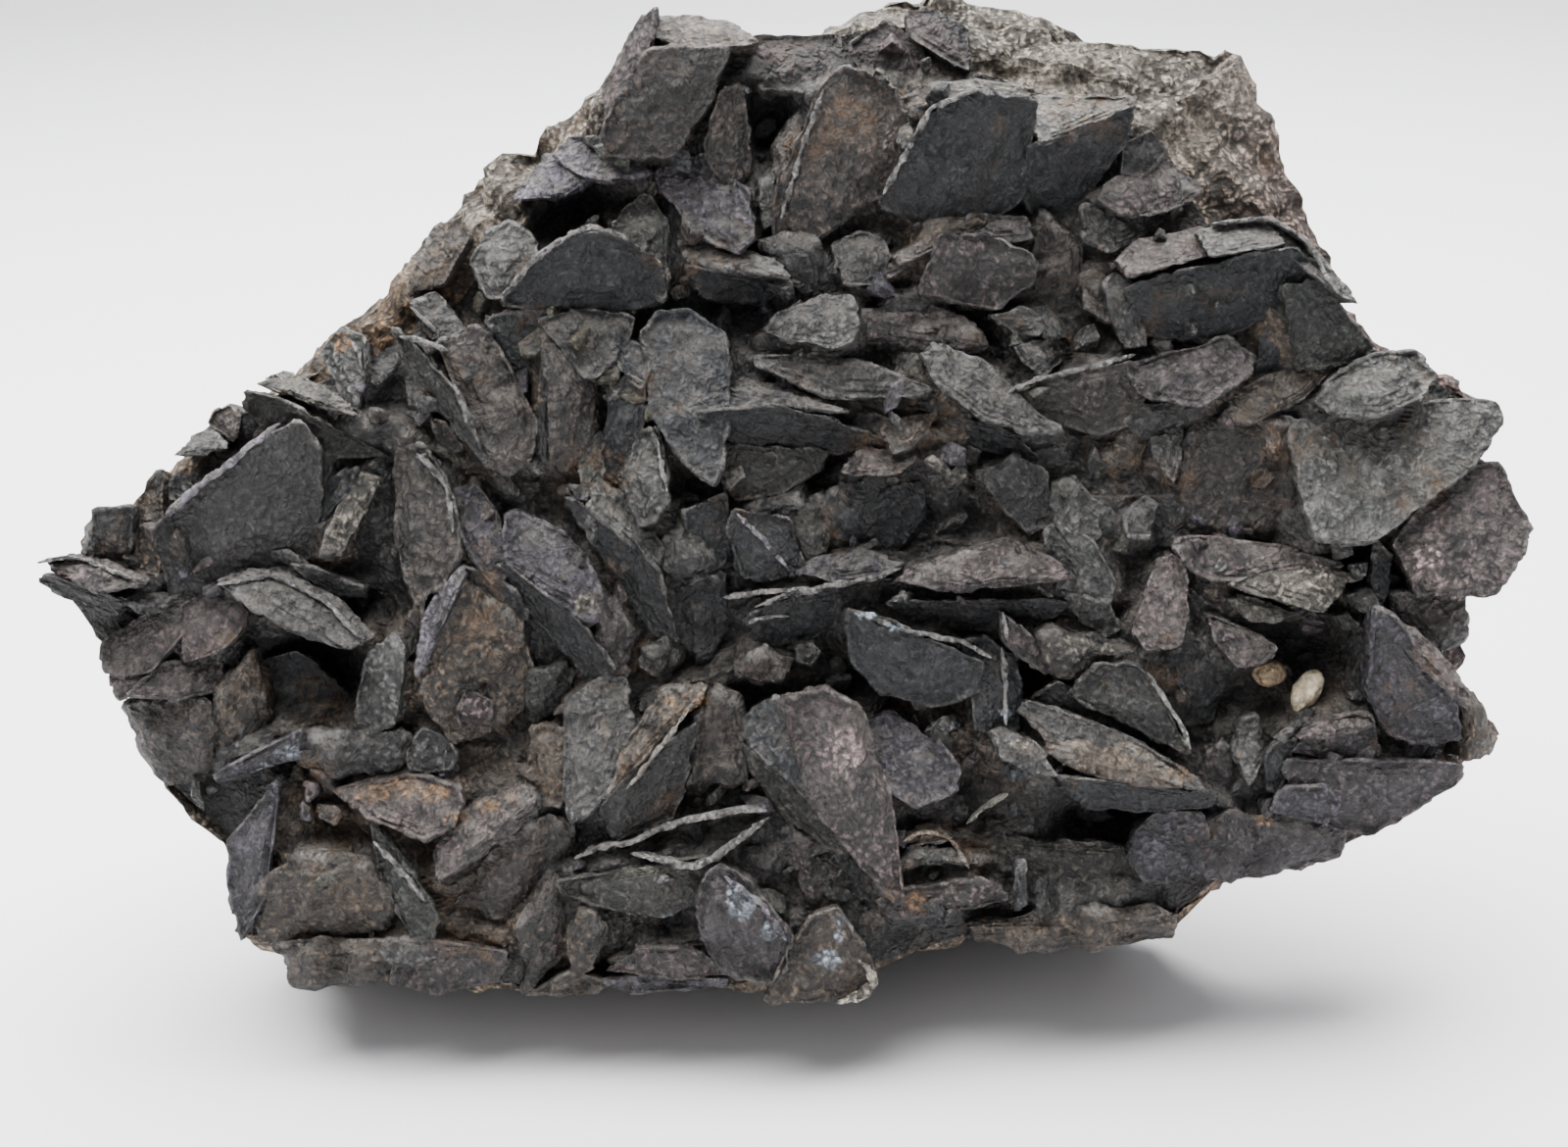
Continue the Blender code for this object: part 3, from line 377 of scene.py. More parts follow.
        (2, 8, 60, 15, "rough", "tan", 0.9, [(445, 945), (470, 930), (505, 940), (522, 950), (510, 968),
            (465, 965)]),
    ],
    "centre": [
        (0, 6, 160, 20, "slab", "tan", 1, [(418, 296), (430, 265), (447, 234), (470, 228), (480, 245),
            (455, 287)]),
        (2, 7, 100, 15, "slab", "sage", 1, [(482, 268), (499, 242), (521, 230), (541, 242), (549, 264),
            (524, 301), (500, 303)]),
        (5, 10, -80, 30, "slab", "slate", 0.7, [(522, 305), (545, 276), (575, 253), (607, 242), (640, 252),
            (668, 272), (668, 302), (640, 312), (560, 318)]),
        (1, 6, -80, 20, "slab", "slate", 0.5, [(505, 327), (560, 320), (562, 360), (555, 402), (520, 402),
            (503, 367)]),
        (4, 9, 60, 15, "slab", "grey", 1.1, [(553, 331), (566, 323), (599, 314), (641, 323), (638, 342),
            (613, 378), (599, 381)]),
        (5, 9, -20, 20, "lens", "brown", 1.1, [(563, 358), (585, 372), (603, 397), (603, 428), (595, 455),
            (578, 472), (563, 465)]),
        (4, 9, 180, 45, "lens", "iron", 0.8, [(563, 358), (552, 385), (546, 415), (548, 460), (562, 466),
            (560, 410)]),
        (4, 8, 110, 15, "slab", "slate", 1.5, [(627, 362), (638, 344), (654, 353), (663, 376), (654, 395),
            (641, 389)]),
        (5, 9, 100, 12, "slab", "slate", 1.5, [(660, 347), (672, 328), (702, 325), (735, 345), (742, 385),
            (735, 460), (728, 482), (705, 470), (670, 420)]),
        (5, 9, -150, 40, "slab", "moss", 0.8, [(400, 325), (429, 356), (452, 376), (479, 423), (493, 467),
            (468, 439), (424, 387)]),
        (4, 9, 20, 15, "slab", "brown", 1, [(455, 355), (490, 340), (510, 360), (545, 430), (535, 465),
            (515, 480), (498, 466), (478, 420)]),
        (3, 7, 90, 20, "slab", "grey", 1, [(425, 310), (445, 300), (470, 330), (475, 350), (450, 350),
            (430, 335)]),
        (2, 7, 160, 20, "slab", "grey", 1.1, [(415, 385), (430, 382), (440, 400), (435, 420), (420, 410)]),
        (2, 7, -80, 15, "slab", "brown", 1, [(440, 425), (455, 432), (470, 455), (457, 463), (443, 446)]),
        (4, 10, 160, 15, "slab", "brown", 0.95, [(403, 478), (405, 462), (430, 460), (450, 485),
            (468, 530), (466, 560), (450, 590), (425, 605), (408, 565)]),
        (3, 9, 60, 15, "slab", "violet", 0.9, [(465, 502), (485, 498), (505, 520), (520, 580), (500, 590),
            (480, 562), (467, 530)]),
        (3, 7, 90, 15, "slab", "moss", 1.1, [(590, 470), (612, 440), (617, 470), (612, 502), (598, 502)]),
        (3, 7, -160, 20, "slab", "slate", 0.8, [(615, 450), (625, 400), (645, 385), (658, 397), (655, 440),
            (640, 482), (622, 490)]),
        (6, 9, 150, 20, "slab", "sage", 1.15, [(635, 488), (654, 440), (668, 437), (678, 470), (680, 505),
            (670, 526), (655, 530)]),
        (3, 5, 90, 20, "slab", "grey", 1.2, [(582, 495), (604, 498), (607, 514), (588, 509)]),
        (5, 8, 40, 38, "slab", "sage", 1.3, [(613, 490), (640, 508), (662, 538), (675, 558), (666, 572),
            (640, 548), (606, 518)]),
        (5, 8, 100, 22, "slab", "grey", 1.5, [(782, 341), (799, 318), (844, 302), (868, 303), (874, 330),
            (868, 348), (830, 357), (802, 345)]),
        (4, 8, 95, 18, "slab", "grey", 1.2, [(783, 345), (824, 361), (924, 352), (944, 366), (947, 391),
            (930, 402), (841, 399), (782, 372)]),
        (2, 7, 90, 15, "rough", "rose", 0.95, [(882, 322), (940, 305), (985, 330), (1000, 350), (960, 360),
            (885, 350)]),
        (6, 5, 90, 45, "lens", "grey", 1.6, [(720, 418), (735, 398), (760, 388), (800, 392), (880, 428),
            (900, 440), (860, 434), (745, 416)]),
        (5, 10, -85, 40, "slab", "slate", 0.5, [(722, 422), (797, 414), (860, 432), (893, 446), (860, 456),
            (780, 456), (745, 444)]),
        (3, 8, -60, 12, "slab", "olive", 0.7, [(742, 456), (800, 458), (842, 462), (830, 480), (790, 502),
            (755, 505), (740, 485)]),
        (4, 6, 90, 20, "slab", "cream", 0.55, [(735, 476), (755, 468), (758, 486), (745, 496)]),
        (4, 6, 90, 25, "slab", "tan", 0.95, [(901, 436), (911, 427), (955, 421), (947, 435), (930, 454),
            (911, 460)]),
        (4, 7, 95, 40, "slab", "rose", 1.5, [(862, 480), (880, 456), (934, 460), (930, 471), (911, 482),
            (874, 482)]),
        (1, 6, -80, 15, "rough", "slate", 0.75, [(845, 515), (855, 492), (900, 492), (935, 486),
            (940, 520), (925, 558), (880, 562), (845, 552)]),
        (5, 5, 30, 20, "slab", "cream", 0.85, [(945, 469), (952, 464), (972, 481), (966, 489)]),
        (4, 5, 150, 20, "slab", "cream", 0.9, [(968, 489), (975, 475), (985, 470), (984, 484), (974, 495)]),
        (2, 5, 60, 20, "slab", "grey", 1.2, [(968, 457), (985, 452), (1000, 460), (995, 471), (978, 467)]),
        (6, 8, 60, 32, "slab", "grey", 1.4, [(945, 367), (965, 352), (1000, 370), (1078, 436), (1040, 437),
            (1000, 424), (955, 387)]),
        (4, 9, -110, 40, "slab", "slate", 0.55, [(955, 388), (1002, 428), (1040, 440), (1075, 443),
            (1070, 460), (1040, 468), (1005, 456), (972, 430)]),
        (2, 6, 90, 20, "slab", "grey", 1.3, [(905, 398), (940, 396), (955, 405), (960, 418), (925, 412)]),
        (3, 6, -60, 15, "slab", "slate", 0.8, [(700, 520), (740, 505), (745, 545), (735, 572), (708, 580)]),
        (4, 7, 90, 15, "rough", "sage", 1.3, [(681, 545), (719, 536), (728, 572), (703, 586), (675, 580)]),
        (4, 8, -60, 12, "slab", "slate", 0.8, [(746, 540), (753, 522), (803, 530), (817, 572), (812, 584),
            (762, 586)]),
        (3, 7, 80, 20, "rough", "sage", 1, [(757, 520), (772, 500), (812, 492), (818, 515), (800, 528),
            (765, 528)]),
        (2, 7, 20, 12, "rough", "olive", 1, [(812, 520), (840, 505), (846, 552), (830, 566), (815, 545)]),
        (4, 8, 95, 35, "slab", "violet", 1.3, [(819, 582), (839, 568), (892, 563), (918, 572), (912, 583),
            (851, 592)]),
        (3, 8, -80, 30, "slab", "slate", 0.8, [(768, 630), (800, 610), (850, 598), (905, 590), (915, 602),
            (870, 628), (845, 652), (790, 654)]),
        (4, 9, 60, 12, "slab", "violet", 1.35, [(517, 529), (530, 524), (572, 547), (600, 578), (608, 605),
            (600, 628), (578, 617), (522, 580)]),
        (4, 9, 20, 15, "rough", "rose", 1, [(606, 600), (630, 622), (642, 645), (632, 676), (622, 690),
            (608, 655), (600, 630)]),
        (4, 9, -135, 38, "slab", "slate", 0.5, [(502, 583), (525, 583), (561, 609), (598, 640), (622, 676),
            (612, 696), (598, 695), (544, 630)]),
        (3, 8, -120, 30, "slab", "slate", 0.5, [(472, 578), (502, 584), (530, 606), (533, 630), (510, 625),
            (482, 609)]),
        (-1, 6, -90, 15, "rough", "moss", 0.5, [(517, 628), (545, 632), (572, 664), (580, 690), (560, 700),
            (536, 688)]),
        (4, 9, -140, 35, "slab", "slate", 0.45, [(583, 511), (615, 530), (644, 550), (670, 580),
            (683, 624), (689, 648), (664, 641), (630, 592)]),
        (1, 6, -60, 15, "rough", "slate", 0.7, [(690, 595), (735, 585), (742, 640), (720, 668),
            (696, 650)]),
        (2, 6, -60, 15, "rough", "olive", 1, [(655, 662), (680, 650), (690, 676), (680, 700), (660, 692)]),
        (4, 8, 80, 10, "rough", "brown", 1.1, [(753, 675), (781, 658), (809, 674), (798, 694), (776, 697),
            (756, 690)]),
        (3, 6, 80, 10, "slab", "grey", 0.9, [(812, 660), (830, 655), (836, 668), (828, 678), (815, 672)]),
        (6, 9, -80, 16, "slab", "slate", 0.9, [(870, 620), (898, 630), (964, 647), (998, 676), (996, 700),
            (956, 719), (905, 705), (876, 674)]),
        (7, 8, 95, 33, "lens", "rose", 1.5, [(905, 608), (935, 578), (985, 564), (1030, 551), (1065, 566),
            (1098, 600), (1060, 612), (980, 601)]),
        (4, 9, -90, 45, "slab", "slate", 0.5, [(918, 614), (980, 603), (1060, 613), (1088, 611),
            (1060, 632), (1000, 642), (940, 632)]),
        (5, 7, -10, 20, "slab", "rose", 0.95, [(1022, 620), (1047, 642), (1074, 664), (1083, 678),
            (1066, 684), (1036, 664), (1024, 653)]),
        (3, 9, 0, 15, "slab", "slate", 0.8, [(985, 657), (1010, 655), (1034, 672), (1042, 702),
            (1038, 742), (1016, 748), (998, 738)]),
        (5, 6, -80, 15, "rough", "cream", 0.6, [(1063, 650), (1077, 642), (1124, 656), (1158, 669),
            (1113, 681), (1086, 689), (1068, 668)]),
    ],
    "right": [
        (2, 5, 90, 20, "slab", "grey", 1.3, [(1175, 350), (1185, 343), (1195, 352), (1188, 366)]),
        (2, 6, -80, 15, "slab", "slate", 0.5, [(1285, 345), (1305, 340), (1312, 360), (1305, 378),
            (1282, 382)]),
        (5, 7, 95, 22, "slab", "plum", 1.3, [(1152, 372), (1185, 364), (1240, 342), (1278, 362),
            (1268, 382), (1218, 413), (1165, 396)]),
        (3, 7, -80, 15, "slab", "grey", 1.05, [(1165, 397), (1218, 414), (1240, 412), (1200, 435),
            (1170, 445), (1150, 430)]),
        (4, 9, -90, 14, "slab", "brown", 0.8, [(1032, 402), (1070, 388), (1110, 380), (1150, 372),
            (1165, 397), (1150, 430), (1120, 440), (1062, 422)]),
        (1, 7, -80, 12, "rough", "tan", 0.8, [(1103, 445), (1145, 437), (1168, 450), (1165, 482),
            (1120, 487)]),
        (2, 6, 90, 15, "slab", "grey", 1, [(1010, 322), (1040, 318), (1070, 325), (1058, 342),
            (1035, 340)]),
        (2, 6, 70, 15, "slab", "grey", 0.95, [(1035, 352), (1078, 348), (1082, 368), (1062, 382),
            (1045, 368)]),
        (3, 7, -60, 15, "slab", "grey", 1.05, [(1000, 482), (1030, 470), (1062, 480), (1080, 530),
            (1052, 540), (1020, 512)]),
        (3, 7, 60, 15, "slab", "sage", 1.1, [(1075, 493), (1098, 487), (1115, 510), (1120, 545),
            (1095, 555), (1077, 530)]),
        (3, 7, 60, 20, "slab", "grey", 1.15, [(1175, 448), (1205, 438), (1205, 462), (1195, 490),
            (1182, 470)]),
        (3, 6, 60, 20, "slab", "grey", 1.4, [(1148, 524), (1170, 505), (1180, 516), (1172, 545),
            (1152, 546)]),
        (2, 9, -80, 12, "rough", "brown", 1, [(1208, 480), (1225, 440), (1280, 430), (1332, 436),
            (1345, 490), (1320, 545), (1260, 545), (1212, 540)]),
        (2, 6, -80, 20, "rough", "iron", 0.6, [(1225, 455), (1275, 450), (1282, 482), (1240, 492)]),
        (3, 6, 95, 22, "slab", "tan", 0.85, [(1255, 402), (1310, 378), (1395, 352), (1410, 365),
            (1330, 405), (1303, 430), (1262, 425)]),
        (6, 8, 95, 25, "slab", "sage", 1.3, [(1350, 408), (1365, 385), (1405, 362), (1442, 358),
            (1460, 382), (1445, 403), (1400, 420), (1357, 416)]),
        (4, 9, 75, 20, "slab", "sage", 1.25, [(1325, 427), (1395, 422), (1505, 400), (1527, 426),
            (1500, 470), (1400, 540), (1345, 545), (1332, 495)]),
        (4, 6, 90, 22, "slab", "rose", 1.25, [(1205, 552), (1240, 550), (1310, 558), (1360, 575),
            (1265, 590), (1240, 588), (1218, 578)]),
        (6, 6, 85, 27, "slab", "cream", 0.8, [(1262, 593), (1290, 580), (1340, 577), (1377, 586),
            (1365, 604), (1345, 618), (1285, 604)]),
        (5, 5, 85, 27, "slab", "cream", 0.65, [(1258, 613), (1278, 610), (1324, 623), (1300, 632),
            (1276, 630)]),
        (4, 5, 80, 20, "slab", "sage", 1.5, [(1360, 553), (1381, 549), (1378, 563), (1364, 566)]),
        (4, 5, 80, 20, "slab", "sage", 1.5, [(1378, 577), (1397, 574), (1392, 588), (1380, 590)]),
        (4, 5, 80, 20, "slab", "sage", 1.4, [(1378, 605), (1400, 599), (1408, 616), (1392, 622)]),
        (3, 5, 80, 20, "slab", "sage", 1.4, [(1361, 627), (1378, 624), (1392, 641), (1378, 641)]),
        (3, 7, 0, 15, "slab", "slate", 0.7, [(1405, 556), (1422, 568), (1418, 600), (1408, 622),
            (1398, 590)]),
        (3, 9, 75, 14, "slab", "rose", 1.25, [(1428, 552), (1452, 520), (1490, 488), (1530, 480),
            (1556, 527), (1550, 562), (1520, 600), (1450, 600)]),
        (2, 8, -70, 14, "rough", "rose", 0.9, [(1420, 607), (1460, 602), (1500, 615), (1500, 650),
            (1480, 665), (1445, 642)]),
        (5, 7, 80, 25, "slab", "rose", 1.1, [(1238, 626), (1252, 620), (1290, 648), (1305, 655),
            (1290, 672), (1262, 675), (1244, 655)]),
        (4, 8, -150, 20, "slab", "sage", 1.35, [(1069, 547), (1077, 537), (1113, 552), (1136, 590),
            (1130, 612), (1099, 606), (1075, 572)]),
        (3, 6, -60, 20, "slab", "sage", 1.2, [(1085, 602), (1130, 615), (1145, 640), (1130, 648),
            (1105, 632)]),
        (2, 6, -60, 15, "slab", "sage", 1.1, [(1085, 520), (1100, 502), (1132, 520), (1150, 545),
            (1135, 558), (1110, 545)]),
        (5, 9, 100, 14, "slab", "rose", 1.6, [(1141, 596), (1197, 570), (1208, 580), (1209, 622),
            (1200, 652), (1150, 664), (1160, 640), (1142, 615)]),
        (6, 8, -120, 25, "slab", "sage", 0.95, [(1099, 709), (1124, 681), (1161, 681), (1183, 714),
            (1211, 764), (1180, 753), (1136, 727)]),
        (2, 6, -100, 25, "slab", "moss", 0.5, [(1056, 716), (1085, 695), (1118, 683), (1100, 711),
            (1150, 742), (1140, 750), (1090, 730)]),
        (1, 7, -60, 12, "rough", "slate", 0.65, [(1176, 680), (1202, 640), (1243, 662), (1256, 684),
            (1250, 712), (1250, 736), (1213, 742), (1192, 710)]),
        (6, 7, 80, 20, "slab", "grey", 2, [(1012, 739), (1030, 748), (1050, 740), (1064, 768), (1086, 792),
            (1058, 787), (1026, 770)]),
        (4, 7, -100, 40, "slab", "slate", 0.7, [(1022, 768), (1058, 789), (1096, 797), (1082, 804),
            (1044, 797)]),
        (6, 8, 90, 15, "slab", "grey", 0.95, [(1050, 730), (1058, 720), (1091, 728), (1147, 751),
            (1208, 786), (1220, 800), (1170, 790), (1090, 765)]),
        (8, 8, 95, 24, "lens", "tan", 1.5, [(1077, 757), (1105, 750), (1161, 761), (1200, 790),
            (1200, 799), (1149, 795), (1105, 785), (1080, 768)]),
        (6, 9, -90, 45, "slab", "slate", 0.8, [(1088, 790), (1130, 795), (1220, 802), (1236, 812),
            (1230, 826), (1180, 828), (1120, 826)]),
        (6, 10, -100, 20, "slab", "violet", 0.9, [(1402, 628), (1420, 630), (1480, 708), (1494, 750),
            (1458, 757), (1428, 748), (1405, 711)]),
        (7, 7, 45, 38, "slab", "rose", 1.5, [(1412, 627), (1428, 630), (1462, 655), (1497, 696),
            (1494, 712), (1478, 700), (1430, 655)]),
        (2, 7, 0, 15, "rough", "tan", 1.1, [(1496, 700), (1512, 720), (1538, 752), (1528, 768),
            (1497, 774)]),
        (4, 7, 100, 14, "slab", "grey", 1.3, [(1261, 766), (1272, 737), (1299, 731), (1316, 737),
            (1294, 770), (1299, 800), (1280, 800)]),
        (4, 7, -30, 20, "slab", "slate", 0.6, [(1295, 770), (1305, 758), (1324, 756), (1318, 790),
            (1308, 810), (1298, 804)]),
        (2, 7, -80, 12, "rough", "rose", 1, [(1228, 800), (1236, 770), (1260, 738), (1262, 772),
            (1280, 802), (1268, 815)]),
        (4, 7, -80, 14, "slab", "plum", 0.9, [(1326, 766), (1345, 742), (1380, 730), (1400, 732),
            (1410, 767), (1400, 778), (1372, 777)]),
        (5, 5, 95, 35, "slab", "rose", 1.4, [(1330, 750), (1347, 735), (1399, 727), (1400, 740),
            (1350, 752)]),
        (4, 4, 100, 25, "slab", "grey", 1.4, [(1305, 751), (1336, 728), (1344, 727), (1336, 740),
            (1311, 754)]),
        (3, 9, -80, 14, "slab", "plum", 1.05, [(1319, 774), (1402, 780), (1486, 778), (1487, 796),
            (1430, 839), (1405, 852), (1365, 842), (1330, 822)]),
        (4, 6, -80, 18, "slab", "violet", 1.4, [(1310, 812), (1318, 803), (1355, 803), (1370, 822),
            (1358, 840), (1302, 830)]),
        (2, 8, -80, 12, "rough", "plum", 0.85, [(1238, 838), (1299, 833), (1372, 846), (1363, 877),
            (1336, 886), (1263, 902), (1240, 895)]),
        (2, 7, -90, 10, "slab", "violet", 0.9, [(1160, 880), (1166, 850), (1190, 832), (1225, 836),
            (1236, 865), (1228, 890), (1205, 901), (1175, 900)]),
        (-1, 8, -85, 12, "rough", "olive", 0.9, [(985, 835), (1025, 807), (1080, 815), (1165, 860),
            (1175, 905), (1200, 907), (1190, 940), (1090, 940), (1000, 890)]),
        (1, 6, -85, 12, "rough", "tan", 1, [(1000, 948), (1100, 931), (1200, 936), (1190, 962),
            (1140, 970), (1070, 972), (1004, 965)]),
        (0, 6, -85, 12, "rough", "iron", 0.7, [(905, 822), (980, 815), (985, 838), (970, 848), (915, 845)]),
    ],
    "bottom": [
        (5, 9, 80, 12, "slab", "grey", 1.4, [(578, 718), (617, 693), (633, 703), (641, 746), (623, 798),
            (603, 823), (584, 827), (578, 800)]),
        (3, 8, 160, 15, "slab", "tan", 1, [(542, 748), (562, 743), (580, 747), (581, 775), (570, 820),
            (537, 815), (534, 796)]),
        (6, 9, 135, 27, "slab", "tan", 1.3, [(623, 806), (641, 756), (676, 707), (714, 704), (703, 726),
            (659, 768)]),
        (5, 9, -45, 25, "slab", "iron", 0.8, [(617, 820), (659, 773), (706, 742), (701, 779), (683, 834),
            (642, 851), (626, 852)]),
        (3, 8, 40, 12, "rough", "brown", 1, [(701, 800), (709, 743), (731, 707), (753, 718), (762, 771),
            (760, 797)]),
        (6, 7, -85, 12, "slab", "olive", 1, [(587, 872), (639, 862), (709, 878), (726, 874), (714, 921),
            (676, 937), (639, 932), (578, 912), (574, 896)]),
        (2, 8, -30, 15, "rough", "slate", 0.65, [(745, 880), (765, 858), (784, 842), (800, 870),
            (812, 890), (812, 928), (785, 924)]),
        (4, 8, 40, 14, "rough", "rose", 1, [(790, 840), (822, 856), (846, 868), (858, 890), (835, 926),
            (816, 930), (812, 888)]),
        (8, 12, 10, 12, "slab", "rose", 1.2, [(802, 720), (843, 712), (884, 732), (900, 768), (907, 821),
            (921, 862), (918, 912), (900, 905), (830, 815)]),
        (5, 9, 130, 14, "slab", "slate", 1.2, [(762, 737), (780, 718), (802, 717), (824, 735), (836, 790),
            (815, 800), (766, 762)]),
        (5, 9, -150, 32, "slab", "olive", 0.65, [(765, 766), (790, 784), (840, 830), (862, 860),
            (850, 866), (800, 832), (772, 795)]),
        (5, 8, -140, 32, "slab", "slate", 0.55, [(848, 842), (872, 872), (902, 907), (916, 918),
            (910, 928), (882, 908), (856, 880)]),
        (4, 9, 70, 20, "slab", "violet", 1.2, [(887, 742), (912, 734), (957, 762), (979, 787), (968, 809),
            (934, 818), (907, 801)]),
        (4, 5, 95, 25, "slab", "grey", 1.1, [(921, 879), (932, 868), (971, 869), (987, 881), (957, 883)]),
        (3, 5, 95, 30, "slab", "tan", 0.95, [(920, 856), (932, 847), (958, 846), (972, 856), (940, 862)]),
        (4, 7, -80, 14, "slab", "rose", 1.3, [(901, 922), (921, 909), (998, 901), (1018, 909), (1029, 934),
            (951, 937), (920, 943)]),
        (3, 6, 160, 20, "slab", "slate", 0.8, [(1040, 882), (1049, 880), (1050, 925), (1040, 930)]),
        (3, 6, 20, 20, "slab", "grey", 0.9, [(1062, 900), (1072, 903), (1076, 934), (1064, 936)]),
        (8, 11, -100, 14, "slab", "plum", 1, [(714, 925), (722, 898), (739, 884), (765, 905), (803, 957),
            (798, 993), (787, 1004), (739, 996), (720, 962)]),
        (6, 9, -60, 14, "slab", "tan", 0.9, [(787, 1020), (804, 982), (832, 940), (865, 930), (879, 973),
            (893, 996), (884, 1014), (832, 1023)]),
        (3, 6, 80, 20, "slab", "tan", 1.5, [(834, 930), (837, 912), (860, 908), (862, 916), (851, 927)]),
        (1, 6, -30, 20, "rough", "tan", 1, [(870, 930), (895, 925), (905, 945), (900, 965), (882, 975)]),
        (4, 9, -30, 22, "rough", "brown", 1, [(528, 946), (562, 898), (572, 898), (578, 940), (567, 982),
            (548, 998), (533, 1010)]),
        (5, 9, -90, 10, "lens", "tan", 0.9, [(578, 982), (578, 954), (587, 932), (601, 926), (614, 954),
            (603, 990), (584, 1001)]),
        (2, 7, -60, 12, "rough", "rose", 0.85, [(614, 940), (640, 938), (650, 955), (625, 982),
            (612, 975)]),
        (4, 6, -90, 16, "slab", "rose", 1.25, [(624, 994), (653, 971), (698, 970), (731, 988), (740, 998),
            (690, 1002)]),
        (3, 6, -90, 16, "slab", "violet", 0.9, [(620, 1006), (650, 998), (740, 1002), (740, 1010),
            (653, 1017)]),
        (2, 6, -90, 12, "slab", "tan", 1, [(538, 1018), (580, 994), (604, 1001), (618, 1010), (600, 1018)]),
        (4, 8, -20, 17, "rough", "tan", 1, [(475, 600), (519, 628), (539, 690), (525, 722), (461, 752),
            (430, 700), (449, 648)]),
        (7, 8, 150, 32, "slab", "violet", 2.2, [(431, 628), (445, 603), (467, 581), (474, 592), (458, 622),
            (447, 650), (430, 686), (424, 680)]),
        (4, 8, 180, 40, "slab", "brown", 1.1, [(412, 672), (413, 638), (424, 614), (444, 601), (431, 630),
            (424, 682)]),
        (5, 5, -60, 25, "slab", "rose", 1.35, [(465, 726), (478, 702), (500, 716), (497, 734), (470, 740)]),
        (1, 7, -60, 15, "rough", "moss", 0.85, [(536, 719), (540, 688), (578, 674), (583, 692), (578, 711),
            (545, 732)]),
    ],
}

# Pale rims along the crystals' edges, partly worn and partly a painted highlight on top-lit
# edges: width, tint, how light it is, and the path, read in the photo's pixels.
SEAMS = [
    (1, "grey", 2.2, [(900, 205), (945, 122), (985, 104), (1047, 112)]),
    (1.3, "violet", 1.8, [(300, 432), (250, 470), (210, 502), (172, 534)]),
    (1, "grey", 2, [(515, 310), (548, 272), (580, 248), (610, 238), (645, 250)]),
    (0.9, "grey", 2, [(432, 461), (462, 495), (466, 542)]),
    (0.9, "grey", 2.2, [(665, 436), (674, 455), (682, 502)]),
    (0.9, "violet", 2.2, [(753, 522), (776, 547), (806, 583)]),
    (1, "grey", 1.9, [(737, 610), (776, 602), (823, 599), (887, 587), (912, 581)]),
    (0.9, "grey", 1.7, [(770, 619), (800, 607), (839, 599)]),
    (0.8, "grey", 1.6, [(760, 637), (780, 626), (806, 626)]),
    (1.2, "grey", 2, [(384, 855), (411, 885), (436, 916)]),
    (1.1, "grey", 2.1, [(588, 872), (612, 861), (645, 858), (675, 842), (714, 831), (759, 821),
        (785, 824)]),
    (1.3, "grey", 2.1, [(645, 868), (676, 872), (709, 878), (730, 868), (750, 856), (784, 832)]),
    (0.8, "sage", 1.9, [(1162, 681), (1183, 712), (1205, 745), (1211, 763)]),
    (1, "grey", 2, [(363, 347), (372, 360), (374, 378)]),
    (1.2, "grey", 1.8, [(413, 345), (440, 352), (463, 359)]),
    (0.9, "grey", 2, [(471, 392), (480, 415), (485, 437)]),
    (0.8, "grey", 1.6, [(425, 315), (440, 330), (452, 342)]),
    (0.9, "grey", 1.8, [(1018, 658), (1025, 690), (1026, 738)]),
    (0.9, "grey", 1.8, [(1025, 401), (1045, 390), (1100, 377), (1155, 364)]),
    (0.9, "grey", 1.7, [(872, 620), (920, 638), (985, 655), (1010, 668)]),
    (0.8, "tan", 1.2, [(920, 856), (945, 845), (970, 856), (988, 884)]),
    (0.7, "olive", 1.7, [(985, 840), (1028, 808)]),
    (0.8, "grey", 1.8, [(47, 572), (70, 566), (94, 571), (147, 588)]),
    (0.8, "grey", 1.7, [(230, 594), (284, 584), (338, 612), (372, 645)]),
    (1.2, "violet", 1.8, [(741, 885), (775, 912), (803, 955)]),
    (1.8, "cream", 1, [(876, 976), (892, 996), (884, 1013), (850, 1024)]),
    (0.9, "grey", 1.5, [(838, 102), (818, 160), (797, 228)]),
    (0.9, "grey", 1.7, [(1226, 234), (1286, 228), (1322, 255), (1346, 303)]),
    (0.8, "cream", 0.8, [(640, 800), (690, 740), (714, 706)]),
    (0.8, "grey", 1.8, [(1020, 620), (1024, 650)]),
]

